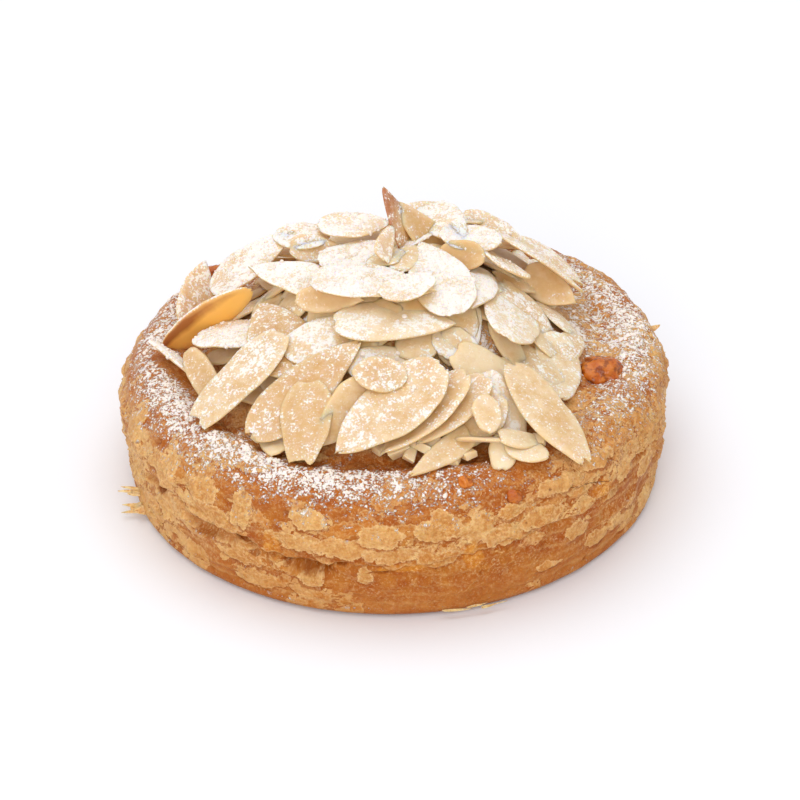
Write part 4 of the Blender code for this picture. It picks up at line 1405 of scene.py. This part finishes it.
def bed_bits(draw):
    """Broken slices that fill the gaps of the heap: a spiral of them just above the dough."""
    laid = []
    for k in range(BED_COUNT):
        radius = BED_RADIUS * math.sqrt((k + 0.5) / BED_COUNT)
        angle = k * math.pi * (3.0 - math.sqrt(5.0))
        x = (radius * math.cos(angle) / MM) + draw.uniform(-BED_JITTER, BED_JITTER)
        y = (radius * math.sin(angle) / MM) + draw.uniform(-BED_JITTER, BED_JITTER)
        fall = dome_height(max(0.0, radius - MM)) - dome_height(radius + MM)
        slope = math.degrees(math.atan2(fall, 2.0 * MM))
        heading = math.degrees(angle) + draw.uniform(-180.0, 180.0)
        turn = math.radians(heading) - angle
        z = dough_top(x * MM, y * MM) / MM + BED_HEIGHT
        pitch = -slope * math.cos(turn) + draw.uniform(-BED_TILT, BED_TILT)
        roll = slope * math.sin(turn) + draw.uniform(-BED_TILT, BED_TILT)
        long, wide, thick = (draw.uniform(*sizes) for sizes in BED_SIZES)
        laid.append(Bit(x, y, z, heading, pitch, roll, long, wide, thick))
    return laid


def lumps_mesh(name):
    """The lumps of caramel as one mesh: uneven balls sunk halfway into the dough's top."""
    build = bmesh.new()
    baked = []
    for number, (x, y, across, height, dark) in enumerate(LUMPS):
        ball = bmesh.ops.create_icosphere(build, subdivisions=4, radius=1.0)["verts"]
        baked += [dark] * len(ball)
        seat = Vector((x * MM, y * MM, dough_top(x * MM, y * MM)))
        for vert in ball:
            way = vert.co.normalized()
            lumpy = 1.0 + LUMP_SWELL * noise.noise(1.7 * way + Vector((number, 0, 0)))
            lumpy += LUMP_BUMP * noise.noise(4.5 * way + Vector((0, number, 0)))
            vert.co = seat + Vector((0.5 * across * MM * way.x, 0.42 * across * MM * way.y,
                                     height * MM * way.z)) * lumpy
    return finished_mesh(built_mesh(name, build), {"baked": baked})


# --- where sugar falls -------------------------------------------------------------------------


def crust_sugar(points):
    """How much sugar fell on the crust at each point: a band round the rim, in patches."""
    x, y = points[:, 0] / MM, points[:, 1] / MM
    angle = np.degrees(np.arctan2(y, x))
    radius = np.hypot(x, y)
    band = np.exp(-(((radius - 42.8) / 6.4) ** 2))
    heap = np.clip((37.0 - radius) / 4.0, 0.0, 1.0)

    def hill(middle, spread):
        off = (angle - middle + 180.0) % 360.0 - 180.0
        return np.exp(-((off / spread) ** 2))

    level = RIM_SUGAR
    for middle, spread, more in RIM_SUGAR_PATCHES:
        level = level + more * hill(middle, spread)
    inner = np.exp(-(((radius - 38.0) / 6.0) ** 2)) * 0.6 * hill(14.0, 42.0)
    return np.clip(np.maximum(np.maximum(band * level, inner), heap), 0.0, 1.0)


def exposure(points, normals, tree):
    """The share of falling sugar that reaches each point past whatever lies above it."""
    ways = [Vector((0.0, 0.0, 1.0))]
    for k in range(4):
        angle = 0.5 * math.pi * k + 0.4
        aside = (FALL_SPREAD * math.cos(angle), FALL_SPREAD * math.sin(angle))
        ways.append(Vector((*aside, 1.0)).normalized())
    found = np.zeros(len(points))
    for k, (point, normal) in enumerate(zip(points, normals)):
        if normal[2] < -0.1:
            continue
        start = Vector(point) + Vector(normal) * FALL_START
        clear = sum(tree.ray_cast(start, way, FALL_REACH)[0] is None for way in ways)
        found[k] = clear / len(ways) * min(1.0, (normal[2] + 0.1) / 0.55)
    return found


def mesh_arrays(mesh):
    """Places and normals of a mesh's points, as two arrays of three columns."""
    points = np.empty(len(mesh.vertices) * 3, dtype=np.float32)
    mesh.vertices.foreach_get("co", points)
    normals = np.empty(len(mesh.vertices) * 3, dtype=np.float32)
    mesh.vertices.foreach_get("normal", normals)
    return points.reshape(-1, 3), normals.reshape(-1, 3)


def dust(pieces):
    """Gives each piece two point values: dust, how much sugar lies there, and open, how much of
    the falling sugar and of the light reaches there, both from 0 to 1.
    """
    vertices, faces = [], []
    for piece in pieces:
        start = len(vertices)
        vertices += [v.co.copy() for v in piece.data.vertices]
        faces += [[start + k for k in polygon.vertices] for polygon in piece.data.polygons]
    tree = BVHTree.FromPolygons(vertices, faces)
    for piece in pieces:
        points, normals = mesh_arrays(piece.data)
        reached = np.sqrt(exposure(points, normals, tree))
        if "sugared" in piece.data.attributes:
            given = np.empty(len(points), dtype=np.float32)
            piece.data.attributes["sugared"].data.foreach_get("value", given)
        else:
            given = crust_sugar(points) * np.clip((normals[:, 2] - 0.22) / 0.4, 0.0, 1.0)
        for name, found in (("dust", reached * given), ("open", reached)):
            piece.data.attributes.new(name, "FLOAT", "POINT").data.foreach_set("value", found)


# --- sugar grains ------------------------------------------------------------------------------


def strew_tree(name, rounds):
    """Geometry nodes that strew lumpy grains over a surface, thicker where more dust lies."""
    board, given = geometry_tree(name, (
        ("Geometry", "Geometry"), ("Density", "Float"), ("Smallest", "Float"), ("Largest", "Float"),
        ("Bare below", "Float"), ("Seed", "Int"), ("Material", "Material")))
    place = board.node("GeometryNodeInputPosition")
    dusted = board.node("GeometryNodeInputNamedAttribute", {"data_type": "FLOAT"}, {"Name": "dust"})
    patchy = board.noise(place, 2.6 * MM, 4.0, 0.65, 0.2)
    thick = (dusted + 1.3 * (patchy - 0.5) - given["Bare below"]) * dusted * 2.2
    thick = board.math("MAXIMUM", thick, 0.0)
    thick = thick * board.parts(board.node("GeometryNodeInputNormal"))[2].above(0.66, 0.30)
    spots = board.node("GeometryNodeDistributePointsOnFaces", {"distribute_method": "RANDOM"}, {
        "Mesh": given["Geometry"], "Density": thick * given["Density"], "Seed": given["Seed"]})
    ball = board.node("GeometryNodeMeshIcoSphere", None, {"Radius": 0.5, "Subdivisions": rounds})
    lump = board.noise(place, 0.55, 2.0, 0.6) - 0.5
    outward = board.scaled(place, 1.6 * lump)
    ball = board.node("GeometryNodeSetPosition", None, {"Geometry": ball, "Offset": outward})
    size = board.node("FunctionNodeRandomValue", {"data_type": "FLOAT"}, {2: 0.0, 3: 1.0}, 1)
    size = given["Smallest"] + (given["Largest"] - given["Smallest"]) * (size * size * size)
    squash = board.node("FunctionNodeRandomValue", {"data_type": "FLOAT_VECTOR"},
                        {0: (0.7, 0.7, 0.55), 1: (1.2, 1.2, 0.9), "Seed": 5})
    spin = board.node("FunctionNodeRandomValue", {"data_type": "FLOAT_VECTOR"},
                      {0: (0.0, 0.0, 0.0), 1: (6.3, 6.3, 6.3), "Seed": 9})
    grains = board.node("GeometryNodeInstanceOnPoints", None, {
        "Points": spots, "Instance": ball, "Rotation": spin, "Scale": board.scaled(squash, size)})
    return end_tree(board, grains, given["Material"])


def strew(rule, settings, material):
    """One piece of sugar strewn on a piece, thinned out if it would have too many triangles."""
    tree = strew_tree(rule.name + "_rule", rule.rounds)
    surface = bpy.data.objects[rule.on]
    values = {"Smallest": rule.smallest, "Largest": getattr(settings, rule.largest),
              "Bare below": rule.bare, "Seed": rule.seed, "Material": material,
              "Density": rule.density * settings.amount}
    while True:
        piece = evaluated_piece(rule.name, surface.data.copy(), tree, values)
        triangles = sum(len(p.vertices) - 2 for p in piece.data.polygons)
        if triangles <= MOST_TRIANGLES:
            break
        values["Density"] *= 0.97 * MOST_TRIANGLES / triangles
        bpy.data.objects.remove(piece, do_unlink=True)
    if not triangles:
        raise RuntimeError(f"{rule.name} has no grains")
    on_body(piece)


# --- materials ---------------------------------------------------------------------------------


def new_material(name):
    material = bpy.data.materials.new(name)
    material.use_nodes = True
    tree = material.node_tree
    for node in list(tree.nodes):
        if node.type != "OUTPUT_MATERIAL":
            tree.nodes.remove(node)
    return material, Board(tree)


def finish_shader(board, values, fine_height=None, bump_distance=0.1 * MM, bump_strength=1.0):
    """Ends a material in one Principled shader."""
    if fine_height is not None:
        values = dict(values, Normal=board.node("ShaderNodeBump", None, {
            "Height": fine_height, "Distance": bump_distance, "Strength": bump_strength}))
    shader = board.node("ShaderNodeBsdfPrincipled", None, values)
    ending = next(n for n in board.tree.nodes if n.type == "OUTPUT_MATERIAL")
    board.tree.links.new(shader.socket, ending.inputs["Surface"])


def sugar_cover(board, place, amount, haze):
    """How much sugar hides a surface: a thin veil, and specks that join up as amount grows."""
    fine = board.noise(place, 0.36 * MM, 2.0, 0.6, 7.0)
    clumpy = board.noise(place, 1.5 * MM, 4.0, 0.70, 8.0)
    granular = 1.0 - board.cells(place, 0.55 * MM, "F1", 0.3)
    cover = 0.34 * fine + 0.50 * clumpy + 0.16 * granular
    some = amount.above(0.04, 0.06)
    specks = cover.above(0.638 - 0.21 * amount, 0.03) * some
    faint = cover.above(0.605 - 0.21 * amount, 0.05) * some
    veil = (amount + 1.6 * (clumpy - 0.5) + 0.7 * (fine - 0.5)).above(0.55, 1.0) * some
    specks = board.math("MAXIMUM", specks, 0.40 * faint)
    return board.math("MAXIMUM", specks, veil * haze)


def crust_patterns(board, place):
    """Noises that several of the crust's colours share, from the broadest to the finest."""
    return {"toasty": board.noise(place, 13.0 * MM, 3.0, 0.5, 7.7),
            "mellow": board.noise(place, 6.0 * MM, 3.0, 0.55, 3.9),
            "tone": board.noise(place, 4.5 * MM, 5.0, 0.6, 6.1),
            "sheer": board.noise(place, 3.4 * MM, 3.0, 0.55, 4.7),
            "warm": board.noise(place, 2.0 * MM, 4.0, 0.6, 6.7),
            "grit": board.noise(place, 0.75 * MM, 3.0, 0.6, 2.3),
            "speck": board.noise(place, 0.42 * MM, 2.0, 0.6, 9.4)}


def bare_crust(board, settings, place, field, pattern):
    """Colour of the crust where no skin covers it, with painted light on the blisters' tops and
    on the dough under the heap.
    """
    earthy = board.mix(pattern["warm"].above(0.5, 0.3), LOW_SIDE, LOW_SIDE_LIGHT)
    baked = board.mix(pattern["warm"].above(0.5, 0.25), settings.rim, RIM_LIGHT)
    # Paler under the heap: painted light that lifts the shade in the gaps between the flakes.
    from_axis = board.vector("LENGTH", board.upright(place, 0.0), output=1)
    lit_under_heap = 1.0 - from_axis.above(34.0 * MM, 5.0 * MM)
    return board.coats(
        board.mix(pattern["tone"].above(0.49, 0.22), settings.bare_dark, settings.bare),
        (field["low"] * 0.7, earthy),
        (field["baked"] * (0.8 - 0.4 * field["right"]), baked),
        # painted light on the blisters' tops
        (field["blister"] * 0.35, BLISTER_TOP_LIGHT),
        (lit_under_heap * 0.7, UNDER_HEAP_PAINTED_LIGHT))


def add_skins(board, settings, place, field, pattern, shade):
    """Lays the torn skins over a colour, with painted soft shadows below them, dark joints that
    are partly painted shade, and painted highlights along their edges.
    """
    golden = board.coats(
        board.mix(pattern["warm"].above(0.5, 0.2), settings.skin, SKIN_WARM),
        (pattern["toasty"].above(0.52, 0.14) * 0.6, SKIN_TOASTED))
    pale = board.coats(
        board.mix(pattern["mellow"].above(0.52, 0.12) * 0.7, settings.skin_pale, PALE_MELLOW),
        (pattern["tone"].above(0.54, 0.10) * 0.6, PALE_LIGHT),
        ((1.0 - pattern["warm"].above(0.45, 0.10)) * 0.5, PALE_WARM))
    cover = (1.0 - 0.25 * field["baked"]) * (0.70 + 0.30 * pattern["sheer"].above(0.5, 0.25))
    above = board.vector("ADD", place, (0.0, 0.0, SHADOW_DROP))
    higher = torn_skins(board, above, SKIN_LAYERS[0], field["bare"])
    shadow = higher["on"] * (1.0 - field["skins"][0]["on"])
    shade = board.mix(shadow * 0.65, shade, SKIN_SHADOW)
    for skin, layer in zip(field["skins"], SKIN_LAYERS):
        paleness = skin["tint"] + 0.34 * field["left"] + 0.16 * field["right"]
        shade = board.coats(
            shade,
            (skin["on"] * cover, board.mix(paleness.above(layer.pale_past, 0.14), golden, pale)),
            # dark joints, partly painted shade in the gaps, and a painted highlight along each
            # skin's edge
            (skin["joint_and_shade"] * 0.65, SKIN_JOINT_AND_SHADE),
            (skin["on"] * (1.0 - skin["inside"]) * 0.40, SKIN_EDGE_HIGHLIGHT))
    for plate in field["plates"]:
        shade = board.coats(
            shade,
            # a painted shadow below each plate and a painted highlight along its edge
            (plate["shadow"] * (1.0 - plate["on"]) * 0.75, PLATE_SHADOW),
            (plate["on"] * 0.85, board.mix(plate["pale"], golden, pale)),
            (plate["on"] * (1.0 - plate["inside"]) * 0.55, PLATE_EDGE_HIGHLIGHT))
    return shade


def add_marks(board, settings, field, pattern, shade):
    """Lays the glassy spots and ridges over a colour, then painted light and shade: a highlight on
    the lip's edge, a shadow under the ledge, and shade in the crack, hollows, pits, craters and
    slit.
    """
    glassy = board.mix(pattern["warm"].above(0.5, 0.25), GLAZE_DEEP, GLAZE_LIGHT)
    # How far up the crack a place is: the painted shade in the crack is darkest just under the lip.
    shadow_under_lip = field["over"].above(-1.2 * MM, 1.4 * MM)
    shadow_under_lip = shadow_under_lip * (0.4 + 0.6 * pattern["warm"].above(0.5, 0.3))
    shade_in_hollows = board.mix(pattern["warm"].above(0.5, 0.25), settings.hollow, HOLLOW_SHADE_PALER)
    return board.coats(
        shade,
        (field["glazed"] * 0.75, glassy),
        (field["ridge"] * 0.4, settings.skin_pale),
        # painted highlight on the lip's edge and painted shadow under the ledge
        (field["lip_highlight"] * 0.45, LIP_HIGHLIGHT),
        (field["ledge_shadow"] * (0.45 + 0.5 * field["opened"]), LEDGE_SHADOW),
        (field["crack"] * 0.95, board.mix(shadow_under_lip, CRACK_SHADE, CRACK_SHADOW_UNDER_LIP)),
        # painted shade in the hollows, pits, craters and slit
        (field["hollow"] * 0.95, shade_in_hollows),
        (field["pit"] * 0.8, settings.hollow),
        (field["crater"] * 0.5, settings.rim),
        (field["slit"] * 0.8, SLIT_SHADE))


def add_grit(board, place, field, pattern, shade):
    """Lays darker and paler grit and specks over a colour, the paler specks partly painted glints,
    and darkens the foot.
    """
    coarse = (0.35 + 0.65 * pattern["mellow"].above(0.5, 0.3)) * (1.0 - 0.5 * field["low"])
    foot = 1.0 - board.parts(place)[2].above(0.9 * MM, 1.8 * MM)
    return board.coats(
        shade,
        (coarse * (1.0 - pattern["grit"].above(0.46, 0.16)) * 0.34, GRIT_DARK),
        (coarse * pattern["grit"].above(0.56, 0.12) * 0.26, GRIT_LIGHT),
        (coarse * (1.0 - pattern["speck"].above(0.43, 0.14)) * 0.36, SPECK_DARK),
        # pale specks: grain, and painted glints
        (coarse * pattern["speck"].above(0.61, 0.08) * 0.36, PALE_SPECK_AND_GLINT),
        (foot * 0.5, FOOT_DARK))


def crust_material(settings, sugar):
    material, board = new_material("baked_crust")
    place = board.attribute("rest", "Vector")
    field = crust_fields(board, place)
    pattern = crust_patterns(board, place)
    shade = bare_crust(board, settings, place, field, pattern)
    shade = add_skins(board, settings, place, field, pattern, shade)
    shade = add_marks(board, settings, field, pattern, shade)
    shade = add_grit(board, place, field, pattern, shade)
    covered = sugar_cover(board, place, board.attribute("dust"), 0.0)
    # Paler in patches on the left of the side.
    paler_left = 0.16 * field["left"] * pattern["mellow"].above(0.50, 0.20) * (1.0 - field["low"])
    shade = board.coats(shade, (paler_left, LEFT_PALE_TINT), (covered * 0.95, sugar))
    grain = board.noise(place, 0.35 * MM, 3.0, 0.6, 1.1)
    height = grain * 0.9 + covered * 1.3 + pattern["warm"] * 1.4 + pattern["grit"] * 0.9
    rough = 0.46 - 0.12 * field["baked"] + 0.35 * covered
    finish_shader(board, {"Base Color": shade, "Roughness": rough, "Specular IOR Level": 0.12,
                          "Subsurface Weight": 0.15, "Subsurface Radius": (1.0, 0.4, 0.08),
                          "Subsurface Scale": 1.0 * MM}, height, 0.20 * MM, 1.0)
    return material


def almond_material(settings, sugar):
    material, board = new_material("toasted_almond")
    place = board.object_place()
    margin = board.attribute("margin")
    toast = board.attribute("toast")
    tone = board.attribute("tone")
    blotch = board.noise(place, 4.5 * MM, 3.0, 0.55, 0.0)
    fibre = board.noise(place, 0.8 * MM, 3.0, 0.6, 1.0)
    heat = toast * 1.1 + (blotch - 0.5) * 1.0 + (fibre - 0.5) * 0.35 - 0.12
    heat = heat + (tone - 0.5) * 0.2
    inner = margin.above(0.9, 1.3)
    heat = heat * (0.45 + 0.55 * inner)
    shade = board.mix(heat.above(0.16, 0.42), settings.cream, settings.golden)
    shade = board.mix(heat.above(0.60, 0.55) * 0.85, shade, settings.toasted)
    amber = board.attribute("amber")
    shade = board.mix(amber * (0.55 + 0.4 * inner), shade, settings.amber)
    # Golden edge: the slice's own edge colour, and painted warm shade.
    rim = (1.0 - margin.above(0.22, 0.25)) * 0.4
    shade = board.mix(rim, shade, ALMOND_EDGE_AND_WARM_SHADE)
    burn = (board.attribute("burn") + (blotch - 0.5) * 0.5).above(0.5, 0.45)
    shade = board.mix(burn * 0.9, shade, settings.burnt)
    drifted = 2.4 * (board.noise(place, 5.5 * MM, 2.0, 0.5, 4.4) - 0.5) + 1.0
    covered = sugar_cover(board, place, board.attribute("dust") * drifted, 0.45)
    # Sugar warmer where little light reaches: painted warm shade.
    sugar_with_warm_shade = board.mix(board.attribute("open").above(0.66, 0.5), SUGAR_IN_WARM_SHADE, sugar)
    shade = board.mix(covered * 0.94, shade, sugar_with_warm_shade)
    grain = board.noise(place, 0.3 * MM, 2.0, 0.6, 2.0)
    height = fibre * 0.35 + grain * 0.25 + covered * 1.1
    rough = 0.44 + 0.42 * covered
    finish_shader(board, {"Base Color": shade, "Roughness": rough, "Specular IOR Level": 0.4,
                          "Subsurface Weight": 0.5, "Subsurface Radius": (1.0, 0.6, 0.22),
                          "Subsurface Scale": 1.5 * MM}, height, 0.1 * MM, 0.7)
    return material


def sugar_material(settings):
    material, board = new_material("powdered_sugar")
    place = board.object_place()
    tone = board.noise(place, 0.4 * MM, 2.0, 0.6)
    shade = board.mix(tone.above(0.5, 0.5), settings.white, SUGAR_WARM)
    finish_shader(board, {"Base Color": shade, "Roughness": 0.85})
    return material


def caramel_material(settings):
    material, board = new_material("baked_caramel")
    place = board.object_place()
    baked = board.attribute("baked")
    deep = board.noise(place, 2.2 * MM, 3.0, 0.6)
    shade = board.mix(deep.above(0.5, 0.25), settings.caramel, CARAMEL_LIGHT)
    shade = board.mix(baked * 0.8, shade, CARAMEL_BAKED)
    dark = board.noise(place, 1.5 * MM, 3.0, 0.6, 1.0)
    shade = board.mix(dark.above(0.60 - 0.14 * baked, 0.12) * 0.7, shade, CARAMEL_DARK)
    finish_shader(board, {"Base Color": shade, "Roughness": 0.18, "Specular IOR Level": 0.35},
                  deep + 0.5 * dark, 0.4 * MM, 0.8)
    return material


def sliver_material(settings):
    material, board = new_material("loose_crust")
    place = board.object_place()
    tone = board.noise(place, 1.2 * MM, 4.0, 0.6)
    shade = board.mix(tone.above(0.46, 0.3), SLIVER_DARK, SLIVER_PALE)
    freckle = board.noise(place, 0.5 * MM, 2.0, 0.6, 3.0).above(0.62, 0.08)
    shade = board.mix(freckle * 0.5, shade, settings.bare_dark)
    finish_shader(board, {"Base Color": shade, "Roughness": 0.6, "Subsurface Weight": 0.4,
                          "Subsurface Radius": (1.0, 0.6, 0.3), "Subsurface Scale": 0.6 * MM},
                  tone, 0.1 * MM, 0.6)
    return material


def floor_material():
    material, board = new_material("pale_floor")
    place = board.object_place()
    tone = board.noise(place, 0.3, 2.0, 0.5)
    shade = board.mix(tone, FLOOR_LIGHT, FLOOR_SHADE)
    finish_shader(board, {"Base Color": shade, "Roughness": 0.7, "Specular IOR Level": 0.2})
    return material


# --- operators ---------------------------------------------------------------------------------


class CROISSANT_OT_crust(bpy.types.Operator):
    """Make the crust, with its flaky skins, crack, blisters and pits"""

    bl_idname = "croissant.crust"
    bl_label = "Crust"

    def execute(self, context):
        settings = context.scene.croissant_crust
        tree, values = relief_tree(settings)
        values["Material"] = crust_material(settings, tuple(context.scene.croissant_sugar.white))
        piece = evaluated_piece("crust", base_crust(settings), tree, values)
        on_body(piece)
        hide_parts(NODE)
        return {"FINISHED"}


class CROISSANT_OT_flakes(bpy.types.Operator):
    """Lay every almond flake on the heap"""

    bl_idname = "croissant.flakes"
    bl_label = "Almond flakes"

    def execute(self, context):
        settings = context.scene.croissant_flakes
        piece = new_piece("almond_flakes", flakes_mesh(settings, laid_flakes()))
        sugar = tuple(context.scene.croissant_sugar.white)
        piece.data.materials.append(almond_material(settings, sugar))
        on_body(piece)
        return {"FINISHED"}


class CROISSANT_OT_bits(bpy.types.Operator):
    """Put broken bits of almond under and between the flakes"""

    bl_idname = "croissant.bits"
    bl_label = "Almond bits"

    def execute(self, context):
        settings = context.scene.croissant_flakes
        bed = bed_bits(random.Random(SEED + 2))
        broken = bits_mesh("almond_bits", bed, BLUNT, 14, 9, settings.ripple, 0.5)
        chopped = chunk_mesh("almond_chunks", ALMOND_CHUNKS, random.Random(SEED + 3))
        for mesh in (broken, chopped):
            piece = new_piece(mesh.name, mesh)
            piece.data.materials.append(bpy.data.materials["toasted_almond"])
            on_body(piece)
        return {"FINISHED"}


class CROISSANT_OT_slivers(bpy.types.Operator):
    """Put the loose slivers of crust at the side and at the foot"""

    bl_idname = "croissant.slivers"
    bl_label = "Crust slivers"

    def execute(self, context):
        mesh = bits_mesh("crust_slivers", CRUST_SLIVERS, SHARD, 22, 9, SLIVER_RIPPLE, 0.0)
        piece = new_piece("crust_slivers", mesh)
        piece.data.materials.append(sliver_material(context.scene.croissant_crust))
        on_body(piece)
        return {"FINISHED"}


class CROISSANT_OT_caramel(bpy.types.Operator):
    """Put the glossy lumps of baked sugar on the rim"""

    bl_idname = "croissant.caramel"
    bl_label = "Caramel lumps"

    def execute(self, context):
        piece = new_piece("caramel_lumps", lumps_mesh("caramel_lumps"))
        piece.data.materials.append(caramel_material(context.scene.croissant_sugar))
        on_body(piece)
        return {"FINISHED"}


class CROISSANT_OT_sugar(bpy.types.Operator):
    """Dust the pieces with sugar and strew its grains and clumps"""

    bl_idname = "croissant.sugar"
    bl_label = "Sugar"

    def execute(self, context):
        settings = context.scene.croissant_sugar
        dust([bpy.data.objects[name] for name in DUSTED])
        white = sugar_material(settings)
        for rule in STREWN:
            strew(rule, settings, white)
        return {"FINISHED"}


class CROISSANT_OT_stage(bpy.types.Operator):
    """Make the floor, the lights and the camera"""

    bl_idname = "croissant.stage"
    bl_label = "Stage"

    def execute(self, context):
        settings = context.scene.croissant_stage
        build_floor()
        build_lights(settings)
        build_camera(settings)
        view = context.scene.view_settings
        view.view_transform = "Standard"
        view.look = "None"
        return {"FINISHED"}


def build_floor():
    build = bmesh.new()
    bmesh.ops.create_grid(build, x_segments=8, y_segments=8, size=FLOOR_SIZE)
    mesh = bpy.data.meshes.new("floor")
    build.to_mesh(mesh)
    build.free()
    floor = new_piece("floor", mesh)
    mesh.materials.append(floor_material())


def aimed(name, data, place, target):
    made = bpy.data.objects.new(name, data)
    bpy.context.scene.collection.objects.link(made)
    made.location = place
    made.rotation_euler = (Vector(target) - Vector(place)).to_track_quat("-Z", "Y").to_euler()
    return made


def area_light(name, place, target, width, power, tint):
    light = bpy.data.lights.new(name, "AREA")
    light.shape = "DISK"
    light.size = width
    light.energy = power
    light.color = tint
    return aimed(name, light, place, target)


def build_lights(settings):
    area_light("key_light", KEY_PLACE, LIGHT_TARGET, KEY_WIDTH, settings.key, LIGHT_TINT)
    area_light("front_light", FRONT_PLACE, LIGHT_TARGET, FRONT_WIDTH, settings.fill, LIGHT_TINT)
    world = bpy.data.worlds.new("even_light")
    world.use_nodes = True
    board = Board(world.node_tree)
    for node in list(world.node_tree.nodes):
        world.node_tree.nodes.remove(node)
    light = board.node("ShaderNodeBackground", None, {"Color": (1.0, 1.0, 1.0, 1.0),
                                                      "Strength": settings.sky})
    ending = world.node_tree.nodes.new("ShaderNodeOutputWorld")
    world.node_tree.links.new(light.socket, ending.inputs["Surface"])
    bpy.context.scene.world = world


def build_camera(settings):
    target = Vector(CAMERA_TARGET)
    rise = settings.elevation
    place = target + settings.distance * Vector((0.0, -math.cos(rise), math.sin(rise)))
    lens = bpy.data.cameras.new("camera")
    lens.lens = settings.focal
    lens.sensor_width = SENSOR_WIDTH
    lens.clip_start = 0.01
    bpy.context.scene.camera = aimed("camera", lens, place, target)


class CROISSANT_PT_panel(bpy.types.Panel):
    """Buttons and settings of the almond croissant"""

    bl_idname = "CROISSANT_PT_panel"
    bl_label = "Almond croissant"
    bl_space_type = "VIEW_3D"
    bl_region_type = "UI"
    bl_category = "Croissant"

    def draw(self, context):
        for operator in OPERATORS:
            self.layout.operator(operator.bl_idname)
        for name, group in SETTINGS:
            box = self.layout.box()
            box.label(text=group.__name__)
            for key in group.__annotations__:
                box.prop(getattr(context.scene, name), key)


OPERATORS = (
    CROISSANT_OT_crust,
    CROISSANT_OT_flakes,
    CROISSANT_OT_bits,
    CROISSANT_OT_slivers,
    CROISSANT_OT_caramel,
    CROISSANT_OT_sugar,
    CROISSANT_OT_stage,
)
SETTINGS = (
    ("croissant_crust", CrustSettings),
    ("croissant_flakes", FlakeSettings),
    ("croissant_sugar", SugarSettings),
    ("croissant_stage", StageSettings),
)


def register():
    for name, group in SETTINGS:
        bpy.utils.register_class(group)
        setattr(bpy.types.Scene, name, PointerProperty(type=group))
    for made in (*OPERATORS, CROISSANT_PT_panel):
        bpy.utils.register_class(made)


def unregister():
    for made in reversed((*OPERATORS, CROISSANT_PT_panel)):
        bpy.utils.unregister_class(made)
    for name, group in reversed(SETTINGS):
        delattr(bpy.types.Scene, name)
        bpy.utils.unregister_class(group)


def main():
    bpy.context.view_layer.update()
    register()
    bpy.ops.croissant.crust()
    bpy.ops.croissant.flakes()
    bpy.ops.croissant.bits()
    bpy.ops.croissant.slivers()
    bpy.ops.croissant.caramel()
    bpy.ops.croissant.sugar()
    bpy.ops.croissant.stage()


if __name__ == "__main__":
    main()
